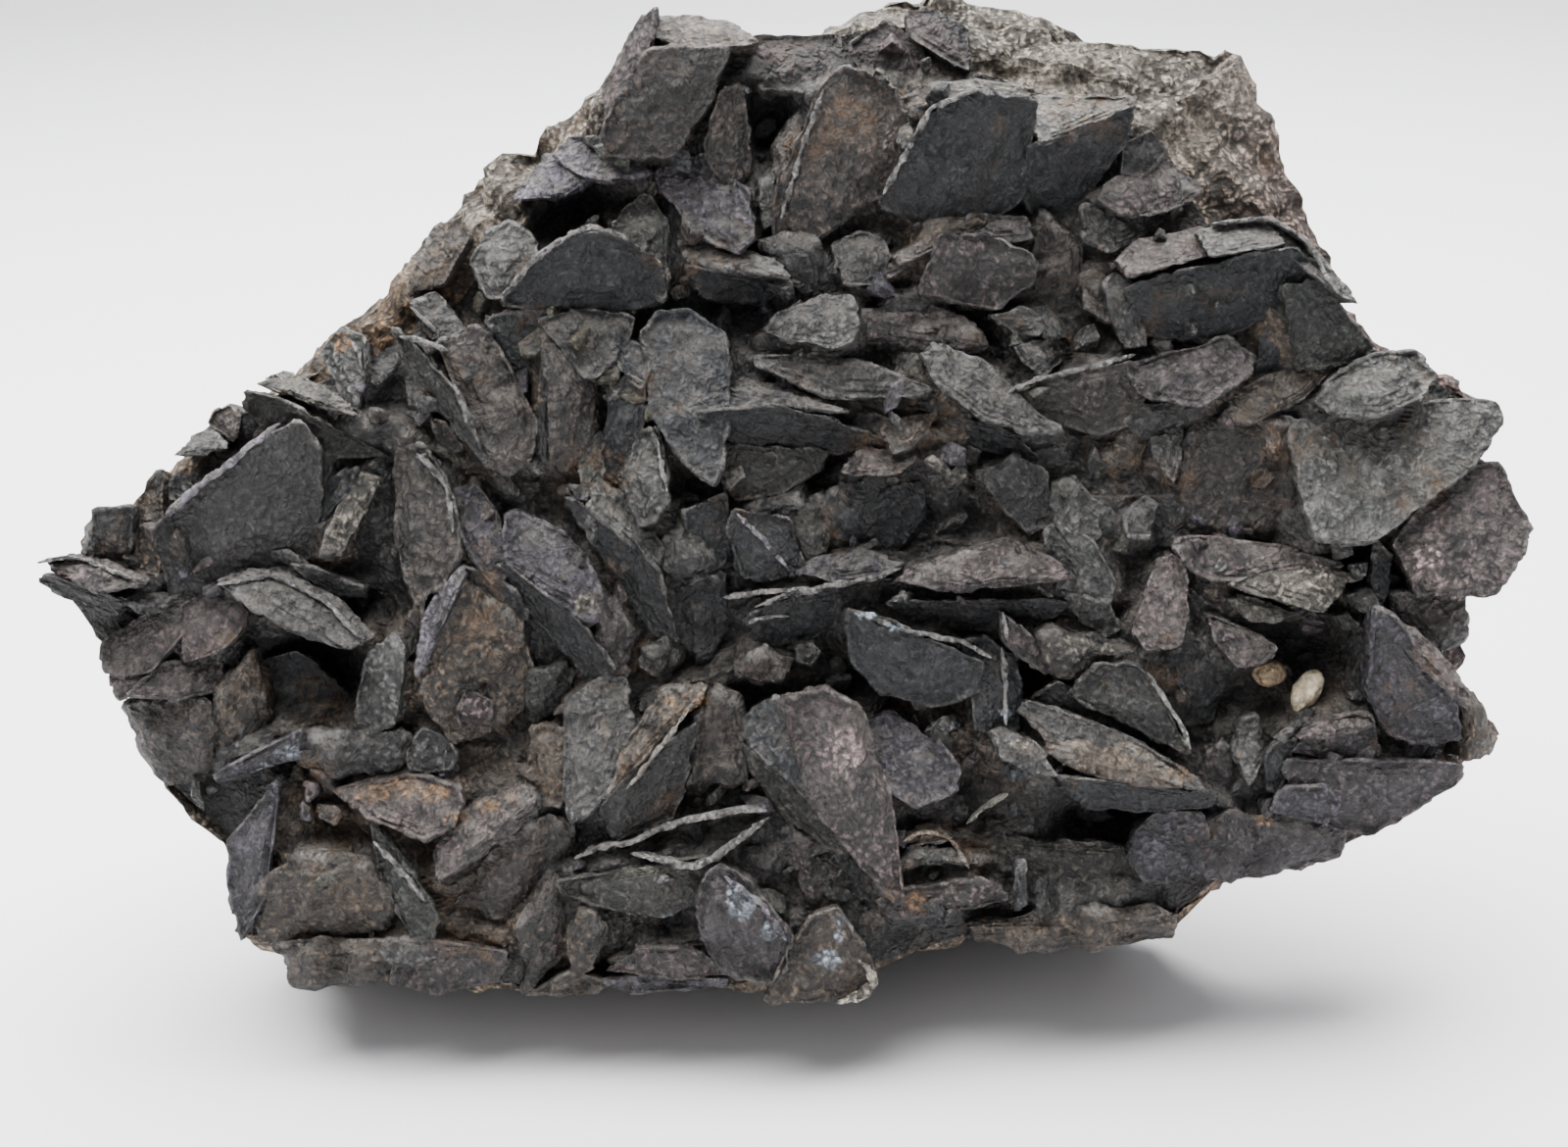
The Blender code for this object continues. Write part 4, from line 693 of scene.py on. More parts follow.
# Coloured spots: the middle, half width and half height, read in the photo's pixels, the tint and
# how light it is.
SPOTS = [
    (295, 765, 12, 7, "frost", 0.6), (272, 780, 9, 5, "frost", 0.5), (380, 806, 20, 9, "ochre", 0.9),
    (415, 800, 22, 9, "ochre", 0.9), (445, 806, 14, 9, "ochre", 0.8), (470, 832, 12, 6, "ochre", 1),
    (500, 818, 14, 6, "ochre", 1), (525, 811, 9, 5, "ochre", 0.9), (936, 918, 13, 9, "ochre", 0.9),
    (352, 350, 12, 10, "ochre", 0.8), (1455, 572, 16, 20, "rose", 2.2), (758, 916, 14, 13, "frost", 1),
    (748, 902, 7, 8, "frost", 0.9), (784, 945, 6, 9, "frost", 0.9), (845, 975, 13, 9, "frost", 0.8),
    (857, 932, 7, 7, "frost", 0.8), (855, 950, 7, 6, "frost", 0.7), (1038, 757, 14, 7, "slate", 0.6),
    (1038, 757, 9, 4, "cream", 1.1), (885, 625, 9, 5, "frost", 1.5), (912, 637, 9, 5, "frost", 1.5),
    (938, 643, 6, 3, "frost", 1.2), (843, 673, 5, 5, "frost", 1.3), (1141, 662, 10, 4, "cream", 1.1),
    (681, 934, 5, 4, "frost", 1.3), (674, 894, 4, 3, "slate", 0.4), (1336, 588, 30, 12, "cream", 0.9),
    (1293, 838, 8, 5, "ochre", 1.3), (700, 715, 22, 9, "ochre", 0.9), (855, 762, 22, 22, "rose", 1.6),
    (1200, 785, 16, 7, "ochre", 1), (1025, 727, 6, 5, "frost", 1), (775, 345, 4, 4, "slate", 1),
    (600, 612, 14, 10, "cream", 0.6), (485, 716, 16, 12, "rose", 1.5),
]

# Loose pale grains lodged in a hollow: the middle (across, up, out), the three radii, the turn
# clockwise and the colour.
GRAINS = {
    "quartz_grain_long": ((89.6, -20.4, -1.65), (2.3, 4.0, 2.0), 30, (0.52, 0.44, 0.31)),
    "quartz_grain_round": ((83, -17.2, -2.15), (2.8, 2.4, 2.0), 0, (0.24, 0.17, 0.10)),
}

# Where a crystal's skin has its rings, along its profile: 0 is the middle of the broad face, 1 the
# edge of its flat, 2 the rim and 3 the root.
LARGE_STEPS = np.concatenate([
    np.linspace(0.06, 0.97, 17), (1.05, 1.3, 1.55, 1.8, 1.95), np.linspace(2.03, 2 + SIDE_STEP, 7),
    (2.6, 3.0)])
MEDIUM_STEPS = np.concatenate([
    np.linspace(0.1, 0.96, 9), (1.1, 1.45, 1.8), np.linspace(2.03, 2 + SIDE_STEP, 5), (2.7, 3.0)])
SMALL_STEPS = np.concatenate([
    np.linspace(0.2, 0.95, 5), (1.2, 1.6, 1.9, 2.1, 2.3, 2 + SIDE_STEP, 3.0)])

# The least length of a crystal, with how many points its rings have and its rings' steps.
GRID_SIZES = [(22, (88, LARGE_STEPS)), (11, (58, MEDIUM_STEPS)), (0, (36, SMALL_STEPS))]

# The floor: how far it reaches to the front and to each side, where its bend to the backdrop
# starts, the bend's radius and the backdrop's height, all in metres.
FLOOR_FRONT = -1.6
FLOOR_SIDE = 2.5
BEND_START = 1.1
BEND_RADIUS = 0.5
BACKDROP_HEIGHT = 2.2

# The camera: how steeply it looks down, and its lens and sensor in millimetres.
LOOK_DOWN = math.radians(23)
LENS = 51.4
SENSOR_WIDTH = 36


def face_to_world(points):
    """Face-frame points (across, up, out) in millimetres, in the specimen's frame in metres."""
    across, up, out = np.moveaxis(np.asarray(points, float), -1, 0)
    sine = math.sin(FACE_TILT)
    cosine = math.cos(FACE_TILT)
    x = across - FOOTPRINT_CENTRE[0]
    y = up * sine - out * cosine - FOOTPRINT_CENTRE[1]
    z = up * cosine + out * sine + FACE_HEIGHT
    return np.stack([x, y, z], axis=-1) * MM


def lattice_noise(points, size, seed):
    """Smooth noise from -1 to 1: a random value at each corner of a lattice of cubes of this size,
    blended between them. Another seed gives another pattern."""
    cell = np.asarray(points, float) / size
    low = np.floor(cell).astype(np.int64)
    part = cell - low
    part = part * part * (3 - 2 * part)
    total = np.zeros(cell.shape[:-1])
    for corner in itertools.product((0, 1), repeat=3):
        key = (low + corner) @ np.array([73856093, 19349663, 83492791]) + seed * 2654435761
        key = (key ^ (key >> 13)) * 1274126177
        value = ((key ^ (key >> 16)) & 0xFFFF) / 0xFFFF
        weight = np.where(corner, part, 1 - part).prod(axis=-1)
        total += weight * value
    return 2 * total - 1


def layered_noise(points, size, seed):
    """Three layers of noise, each half the size and a little over half as strong as the last."""
    total = 0
    strength = 1.0
    for layer in range(3):
        total = total + strength * lattice_noise(points, size / 2 ** layer, seed + layer)
        strength *= 0.55
    return total


def smooth_step(low, high, value):
    """0 below low, 1 above high, and a smooth rise between them."""
    part = np.clip((value - low) / (high - low), 0, 1)
    return part * part * (3 - 2 * part)


def skin_triangles(rings, around):
    """Triangles of a closed skin: a first point, rings of points around it, and a last point."""
    here = np.arange(around)
    there = (here + 1) % around
    first = np.stack([np.zeros(around, int), 1 + there, 1 + here], axis=1)
    start = 1 + around * np.arange(rings - 1)[:, None]
    beyond = start + around
    low = np.stack([start + here, start + there, beyond + there], axis=-1).reshape(-1, 3)
    high = np.stack([start + here, beyond + there, beyond + here], axis=-1).reshape(-1, 3)
    start = 1 + (rings - 1) * around
    last = np.stack([np.full(around, start + around), start + here, start + there], axis=1)
    return np.concatenate([first, low, high, last])


def grid_normals(grid):
    """Unit normals of a grid of rings, from the differences between neighbours, facing outwards."""
    around = np.roll(grid, -1, axis=1) - np.roll(grid, 1, axis=1)
    along = np.gradient(grid, axis=0)
    normal = np.cross(around, along)
    normal /= np.linalg.norm(normal, axis=2, keepdims=True) + 1e-9
    if ((grid - grid.mean(axis=(0, 1))) * normal).sum() < 0:
        normal = -normal
    return normal


def closed_skin(grid, marks):
    """A closed skin from a grid of rings: a point is added at each end, to the marks as well."""
    points = np.concatenate([[grid[0].mean(axis=0)], grid.reshape(-1, 3), [grid[-1].mean(axis=0)]])
    closed = {}
    for name, values in marks.items():
        flat = values.reshape(-1, values.shape[-1])
        closed[name] = np.concatenate([[values[0].mean(axis=0)], flat, [values[-1].mean(axis=0)]])
    triangles = skin_triangles(len(grid), grid.shape[1])
    corners = points[triangles]
    if (corners[:, 0] * np.cross(corners[:, 1], corners[:, 2])).sum() < 0:
        triangles = triangles[:, ::-1]
    return points, triangles, closed


def join_skins(skins):
    """Several skins as one: their points, triangles and marks, one after another."""
    starts = np.cumsum([0] + [len(points) for points, _, _ in skins[:-1]])
    points = np.concatenate([points for points, _, _ in skins])
    triangles = np.concatenate([skin[1] + start for skin, start in zip(skins, starts)])
    marks = {name: np.concatenate([skin[2][name] for skin in skins]) for name in skins[0][2]}
    return points, triangles, marks


def add_piece(name, skin, material, node, smooth=True):
    """Adds a skin, given in the face frame, as a piece that stands for a CAD node."""
    points, triangles, marks = skin
    mesh = bpy.data.meshes.new(name)
    mesh.vertices.add(len(points))
    mesh.vertices.foreach_set("co", face_to_world(points).ravel())
    mesh.loops.add(triangles.size)
    mesh.loops.foreach_set("vertex_index", triangles.ravel().astype(np.int32))
    mesh.polygons.add(len(triangles))
    mesh.polygons.foreach_set("loop_start", np.arange(0, triangles.size, 3, dtype=np.int32))
    mesh.polygons.foreach_set("use_smooth", np.full(len(triangles), smooth))
    for mark, values in marks.items():
        layer = mesh.attributes.new(mark, "FLOAT_COLOR", "POINT")
        colours = np.ones((len(points), 4))
        colours[:, :3] = values
        layer.data.foreach_set("color", colours.ravel())
    mesh.update()
    mesh.validate()
    if smooth:
        mesh.set_sharp_from_angle(angle=CREASE)
    mesh.materials.append(material)
    piece = bpy.data.objects.new(name, mesh)
    bpy.context.scene.collection.objects.link(piece)
    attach(piece, "root")
    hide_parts(node)


def crystal_axes(spin, tip, lean):
    """Unit vectors of a crystal's length, width and broad face, in the face frame."""
    spin, tip, lean = (math.radians(angle) for angle in (spin, tip, lean))
    normal = np.array([
        math.sin(lean) * math.cos(tip), math.sin(lean) * math.sin(tip), math.cos(lean)
    ])
    along = np.array([math.cos(spin), math.sin(spin), 0.0])
    along[2] = -(normal[0] * along[0] + normal[1] * along[1]) / normal[2]
    along /= np.linalg.norm(along)
    return along, np.cross(normal, along), normal


def read_off(pixels, out=0.0):
    """Points read in the photo, in face millimetres to the nearest half. What stands out is nearer
    to the eye and looks larger, so it is drawn in by its share of the distance."""
    share = (VIEW_DISTANCE - out) / VIEW_DISTANCE
    pixels = np.array(pixels, float)
    across = (pixels[:, 0] - VIEW_CENTRE[0]) / PIXELS_PER_MM * share
    up = (VIEW_CENTRE[1] - pixels[:, 1]) / PIXELS_PER_MM * share
    return np.round(np.column_stack([across, up]) / READING_STEP) * READING_STEP


def cross_with_next(corners):
    """Each corner's cross product with the next one; their sum is twice the polygon's area."""
    following = np.roll(corners, -1, axis=0)
    return corners[:, 0] * following[:, 1] - following[:, 0] * corners[:, 1]


def corners_on_face(pixels, out):
    """An outline's corners on the face, counter-clockwise."""
    corners = read_off(pixels, out)
    return corners if cross_with_next(corners).sum() > 0 else corners[::-1]


def middle_of(corners):
    """The centre of a polygon's area."""
    following = np.roll(corners, -1, axis=0)
    cross = cross_with_next(corners)
    return ((corners + following) * cross[:, None]).sum(axis=0) / (3 * cross.sum())


def sides_of(corners):
    """The outward unit vector of each side of a polygon, and the side's distance along it."""
    side = np.roll(corners, -1, axis=0) - corners
    outward = np.stack([side[:, 1], -side[:, 0]], axis=1)
    outward /= np.linalg.norm(outward, axis=1, keepdims=True)
    return outward, (corners * outward).sum(axis=1)


def own_axes(corners):
    """Unit vectors in the face plane: the way a polygon's corners spread most, and across it."""
    spread = corners - corners.mean(axis=0)
    along = np.linalg.eigh(spread.T @ spread)[1][:, 1]
    return np.stack([along, (-along[1], along[0])])


def plane_out(row, corners, flat):
    """Height of a crystal's broad face over a place: a plane that falls towards its tip, and that
    stays level beyond its own ends."""
    out, _, tip, lean = row[:4]
    downhill = np.array([math.cos(math.radians(tip)), math.sin(math.radians(tip))])
    middle = middle_of(corners)
    reach = (corners - middle) @ downhill
    way = np.clip((flat - middle) @ downhill, reach.min(), reach.max())
    return out - math.tan(math.radians(lean)) * way


def outline_radius(corners, angle, sharpness=40):
    """How far a polygon with these corners reaches in each direction, its corners rounded a little.

    Each side lies at a distance from the middle; the reach to it is that distance over the cosine
    between its direction and the ray. A power mean of the sides' reaches gives the nearest one.
    """
    outward, distance = sides_of(corners)
    ray = np.stack([np.cos(angle), np.sin(angle)], axis=1)
    nearness = np.clip(ray @ outward.T, 0, None) / np.maximum(distance, 0.25)
    return (nearness ** sharpness).sum(axis=1) ** (-1 / sharpness)


def spotted(tint, grid):
    """The tint with the coloured spots laid over it: each an ellipse with a ragged edge."""
    ragged = 0.3 * lattice_noise(grid, 1.6, 71) + 0.2 * lattice_noise(grid, 0.8, 72)
    for *middle, wide, high, colour, light in SPOTS:
        across, up = read_off([middle])[0]
        half_width, half_height = np.round(np.array([wide, high]) / PIXELS_PER_MM, 1)
        far = np.hypot((grid[..., 0] - across) / half_width, (grid[..., 1] - up) / half_height)
        cover = smooth_step(1.15, 0.85, far + ragged)[..., None]
        tint = tint * (1 - cover) + np.array(TINTS[colour]) * light * cover
    return tint


def painted_middle_shade(grid):
    """How much painted shade a place has towards the middle: a bell over the middle of the crystals."""
    across, up = (grid[..., 0] - 5) / 52, (grid[..., 1] - 2) / 36
    return np.exp(-across ** 2 - up ** 2)[..., None]


def crystal_skin(row, index):
    """A crystal as a grid of rings: turn round the outline by step along the profile.

    The profile runs over the broad face, which is a plane leaning towards its tip, down the bevel to
    the rim, down the side and in to the root. The broad face is bowed and stepped like growth
    layers, the sides have saw teeth along the layers, and noise in three sizes moves every point
    along the surface's normal. Painted shade makes the tint darker on the crystal's underside and
    near the middle of the face, and the bright edge, partly wear and partly a painted highlight, is
    strongest along the bevel, on the teeth and on edges turned up.
    """
    out, thickness, tip, lean, kind, tint, light, corners = row
    bevel, drop, side_share, root_share = KINDS[kind]
    middle, axes = middle_of(corners), own_axes(corners)
    own_corners = (corners - middle) @ axes.T
    reach = np.abs(own_corners).max(axis=0) * OVERLAP
    around, steps = next(sort for least, sort in GRID_SIZES if 2 * reach[0] >= least)
    turn = np.arange(around) * 2 * math.pi / around
    radius = outline_radius(own_corners * OVERLAP / reach, turn)
    own_place = np.full(around, APART * index)
    rim = np.stack([np.cos(turn) * reach[0], np.sin(turn) * reach[1], own_place], axis=1)
    notches = smooth_step(0.3, 0.6, lattice_noise(rim, 4, 42))
    ragged = 0.03 * lattice_noise(rim, 3, 41) + 0.02 * lattice_noise(rim, 1.2, 40)
    radius *= 1.02 + ragged - 0.05 * notches
    flat_share = max(0.35, 1 - bevel / reach[1])
    profile = (0, flat_share, 1, side_share, root_share)
    share = np.interp(steps, (0, 1, 2, 2 + SIDE_STEP, 3), profile)[:, None]
    x = share * radius * np.cos(turn)
    y = share * radius * np.sin(turn)
    flat = np.stack([x * reach[0], y * reach[1]], axis=-1) @ axes + middle
    face = plane_out(row, corners, flat)
    step = np.broadcast_to(steps[:, None], x.shape)
    rim_out = face - drop * np.clip(step - 1, 0, 1) ** 1.5
    side_out = rim_out - SIDE_SHARE * thickness * np.clip((step - 2) / SIDE_STEP, 0, 1)
    root_out = min(-ROOT_DEPTH, out - thickness)
    to_root = np.clip((step - 2 - SIDE_STEP) / ROOT_STEP, 0, 1)
    height = side_out * (1 - to_root) + root_out * to_root
    grid = np.concatenate([flat, height[..., None]], axis=-1)
    own = grid + (0, 0, APART * index)
    broad = smooth_step(1.7, 0.9, step)
    bow = 0.2 + 0.7 * math.sin(1.9 * index) + 0.4 * (kind == "lens")
    waves = lattice_noise(own, 9, 43)
    from_middle = share + 0.15 * lattice_noise(own, 6, 44)
    terraces = sum(smooth_step(edge - 0.03, edge + 0.03, from_middle)
                   for edge in (0.35, 0.6, 0.8))
    grid[..., 2] += broad * (0.3 + bow * (0.3 - x ** 2) + 0.45 * waves - 0.22 * terraces)
    outwards = grid_normals(grid)
    layers = (grid[..., 2] + 0.5 * lattice_noise(own, 5, 45)) / 1.3
    teeth = (layers - np.floor(layers)) * smooth_step(1.2, 1.9, step)
    coarse = 1.0 if kind == "rough" else smooth_step(-0.4, 0.5, lattice_noise(own, 11, 46))
    grains = 0.32 * lattice_noise(own, 1.3, 47) + 0.4 * lattice_noise(own, 2.4, 48)
    lumps = (1.1 if kind == "rough" else 0.25) * lattice_noise(own, 4.5, 39)
    grid += outwards * (0.5 * teeth - 0.2 + (0.25 + 0.75 * coarse) * grains + lumps)[..., None]
    patchy = smooth_step(-0.5, 0.5, lattice_noise(own, 6, 49))
    worn_and_highlit = np.exp(-((step - 1.75) / 0.35) ** 2) * patchy
    worn_and_highlit = worn_and_highlit + 0.35 * smooth_step(0.55, 0.95, teeth) * smooth_step(2.5, 1.9, step)
    # Edges turned up get more of the bright edge: a painted highlight on top of the wear.
    worn_and_highlit = worn_and_highlit * (0.25 + 0.75 * smooth_step(-0.3, 0.5, outwards[..., 1]))
    patches = 1 + 0.22 * lattice_noise(own, 8, 50)[..., None]
    # Painted shade: faces turned down take a darker tint.
    under = smooth_step(0.1, -0.7, outwards[..., 1])[..., None]
    # More painted shade as well, darker towards the middle of the face.
    shade = SHADE * (1 - 0.3 * under) * (1 - 0.32 * painted_middle_shade(grid))
    # light carries painted light and shade as well as the stone's tone: lighter on faces turned up, darker
    # on faces turned down.
    colour = spotted(shade * np.array(TINTS[tint]) * light * patches, grid)
    return closed_skin(grid, {"tint": colour, "wear_and_shade": wear_and_shade_marks(grid, worn_and_highlit)})


def face_tops(flat, slope):
    """The highest broad face over each place. Beyond its rim each face falls away by the slope."""
    highest = np.full(flat.shape[:-1], NO_FACE)
    for row in itertools.chain.from_iterable(crystals.values()):
        corners = row[-1]
        outward, distance = sides_of(corners)
        beyond = (flat @ outward.T - distance).max(axis=-1)
        top = plane_out(row, corners, flat) - slope * np.clip(beyond, 0, None)
        highest = np.maximum(highest, np.where(beyond < FACE_REACH, top, NO_FACE))
    return highest


def smoothed(values):
    """Values along a path, each drawn towards its two neighbours again and again, the ends held."""
    for _ in range(SMOOTHING_ROUNDS):
        values[1:-1] = 0.25 * values[:-2] + 0.5 * values[1:-1] + 0.25 * values[2:]
    return values


def seam_skin(row, index):
    """A pale rim, partly worn and partly a painted highlight on a top-lit edge: a bead along a smooth
    path over the crystals, pointed at both ends. Each ring stands across the path and is an
    ellipse, its size uneven by noise."""
    width, tint, light, path = row
    path = read_off(path)
    length = np.append(0, np.cumsum(np.linalg.norm(np.diff(path, axis=0), axis=1)))
    place = np.linspace(0, length[-1], max(12, int(length[-1] / RIM_STEP)))
    flat = smoothed(np.stack([np.interp(place, length, column) for column in path.T], axis=1))
    ahead = np.gradient(flat, axis=0)
    ahead /= np.linalg.norm(ahead, axis=1, keepdims=True)
    side = np.stack([ahead[:, 1], -ahead[:, 0]], axis=1)
    offsets = np.linspace(-0.5, 0.5, 3) * width
    beside = flat[:, None, :] + side[:, None, :] * offsets[:, None]
    tops = smoothed(face_tops(beside, RIM_SLOPE).max(axis=1))
    turn = np.arange(10) * math.pi / 5
    own = np.stack([place[:, None] + 0 * turn, np.cos(turn) + 0 * place[:, None],
                    np.sin(turn) + 0 * place[:, None] + APART * index], axis=-1)
    from_end = np.minimum(place, length[-1] - place)
    end = np.sqrt(np.clip(from_end / (2.5 * width), 0, 1))[:, None]
    notches = smooth_step(-0.45, -0.15, lattice_noise(own, 1.4, 75))
    uneven = (1 + 0.5 * lattice_noise(own, 1.1, 73)) * (0.35 + 0.65 * notches)
    radius = width / 2 * (0.03 + 0.97 * end) * uneven
    sideways = radius * np.cos(turn)
    grid = np.empty(own.shape)
    grid[..., :2] = flat[:, None, :] + side[:, None, :] * sideways[..., None]
    rise = np.where(np.sin(turn) > 0, 0.8 * radius, WALL_DEPTH * end)
    grid[..., 2] = tops[:, None] + rise * np.sin(turn)
    patches = (1 + 0.2 * lattice_noise(own, 3, 74))[..., None]
    # The pale colour is partly a worn edge and partly a painted highlight on a top-lit edge.
    colour = spotted(np.array(TINTS[tint]) * light * patches, grid)
    return closed_skin(grid, {"tint": colour, "wear_and_shade": wear_and_shade_marks(grid, 0.7)})


def wear_and_shade_marks(grid, worn_and_highlit):
    """Red: bright edges, partly worn and partly a painted highlight. Green: painted shade down in the
    hollows. Blue: dust on faces turned up.
    """
    normal = grid_normals(face_to_world(grid))
    # Painted shade: the deeper a place lies below the face, the darker it is.
    hollow_shade = smooth_step(0.0, -7.5, grid[..., 2])
    dust = smooth_step(0.2, 0.9, normal[..., 2])
    worn_and_highlit = np.broadcast_to(np.clip(worn_and_highlit, 0, 1), dust.shape)
    return np.stack([worn_and_highlit, hollow_shade, dust], axis=-1)


def outline_ring(around_each):
    """The specimen's outline, with points added along each side, and the crust's cover at each."""
    corners = np.array(OUTLINE, float)
    sides = np.arange(len(corners) + 1)
    place = np.arange(len(corners) * around_each) / around_each
    return np.stack([np.interp(place, sides, np.append(column, column[0]))
                     for column in corners.T], axis=1)


def crust_out(flat):
    """Height of the crust between the crystals: low lumps that climb a little way up the crystals,
    with the hollows sunk into them."""
    points = np.concatenate([flat, np.zeros(flat.shape[:-1] + (1,))], axis=-1)
    lumps = lattice_noise(points, 14, 5)
    skirt = np.minimum(face_tops(flat, SKIRT_SLOPE) - CRUST_BELOW, CRUST_TOP + 2 * lumps)
    out = np.maximum(CRUST_OUT + lumps * CRUST_LUMPS, skirt)
    for across, up, radius, depth in PITS:
        distance = np.hypot(flat[..., 0] - across, flat[..., 1] - up)
        out -= depth * np.exp(-((distance / radius) ** 2))
    return out


def crust_skin():
    """The crust as a grid of rings: the outline drawn in by share, at the height of crust_out, with
    noise added, closed by a wall and a back that lie inside the rock."""
    ring = outline_ring(CRUST_AROUND)
    cover = ring[:, 2:3]
    shares = np.linspace(0.012, 1, CRUST_RINGS)[:, None, None]
    flat = ring[None, :, :2] * cover * shares
    out = crust_out(flat)
    points = np.concatenate([flat, out[..., None]], axis=-1)
    edge = smooth_step(0.9, 1.0, shares[..., 0])
    points[..., 2] = out * (1 - edge) + (LIP_OUT + CRUST_EDGE) * edge
    chunks = lattice_noise(points, 6, 61) + 0.7 * lattice_noise(points, 3, 62)
    ledges = smooth_step(-0.05, 0.1, lattice_noise(points, 9, 63))
    fine = 0.5 * lattice_noise(points, 1.7, 64)
    points[..., 2] += (1 - edge) * (1.1 * chunks + 1.2 * ledges - 0.8) + fine
    bed = DISH_OUT - CRUST_EDGE
    back = [np.concatenate([flat[-1] * share, np.full((len(ring), 1), out)], axis=1)
            for share, out in ((0.995, -9), (0.98, -14), (0.96, bed), (0.5, bed))]
    grid = np.concatenate([points, np.array(back)])
    tan = smooth_step(-0.1, 0.7, layered_noise(grid, 26, 65))[..., None]
    tint = 0.6 * (np.array(TINTS["iron"]) * (1 - tan) + np.array(TINTS["tan"]) * 0.7 * tan)
    patches = (1 + 0.3 * lattice_noise(grid, 5, 66))[..., None]
    # Painted shade: darker towards the middle of the face.
    tint = tint * patches * (1 - 0.3 * painted_middle_shade(grid))
    return closed_skin(grid, {"tint": tint, "wear_and_shade": wear_and_shade_marks(grid, 0)})


def chip_skins(count, seed):
    """Small broken crystals in the crust: each a closed skin of three rings of six points, its
    radius uneven, flattened along its own normal and turned at random."""
    draw = np.random.default_rng(seed)
    ring = outline_ring(CHIPS_AROUND)
    pick = draw.integers(0, len(ring), count)
    reach = np.sqrt(draw.uniform(0.0, 0.97, count))[:, None]
    flat = ring[pick, :2] * ring[pick, 2:3] * reach
    size = (1.3 + 3.0 * draw.uniform(0, 1, count) ** 1.4)[:, None, None]
    turn = np.arange(6) * math.pi / 3
    ring_radii, ring_heights = np.array([(0.85, 0.22), (1.0, 0.1), (0.7, -0.8)]).T[:, :, None]
    radius = size * ring_radii * draw.uniform(0.6, 1.2, (count, 1, 6))
    height = size * ring_heights * np.ones((count, 3, 6))
    narrow = draw.uniform(0.3, 0.7, count)[:, None, None]
    local = np.stack([radius * np.cos(turn), radius * np.sin(turn) * narrow, height], axis=-1)
    out = crust_out(flat) + draw.uniform(0.2, 1.8, count)
    middles = np.concatenate([flat, out[:, None]], axis=1)
    names = list(TINTS)
    skins = []
    for shape, middle in zip(local, middles):
        spin, tip, lean = draw.uniform(0, 360), draw.uniform(0, 360), draw.uniform(15, 65)
        grid = shape @ np.array(crystal_axes(spin, tip, lean)) + middle
        tint = np.array(TINTS[names[draw.integers(0, CHIP_TINTS)]])
        tint = np.minimum(tint, 0.13) * draw.uniform(0.4, 0.8)
        marks = {"tint": np.broadcast_to(tint, grid.shape), "wear_and_shade": wear_and_shade_marks(grid, 0)}
        skins.append(closed_skin(grid, marks))
    return skins


def back_depth(up):
    """How far behind the face the rock ends at this height: it is a wedge, deepest at its foot."""
    return BACK_DEPTH - BACK_TAPER * up


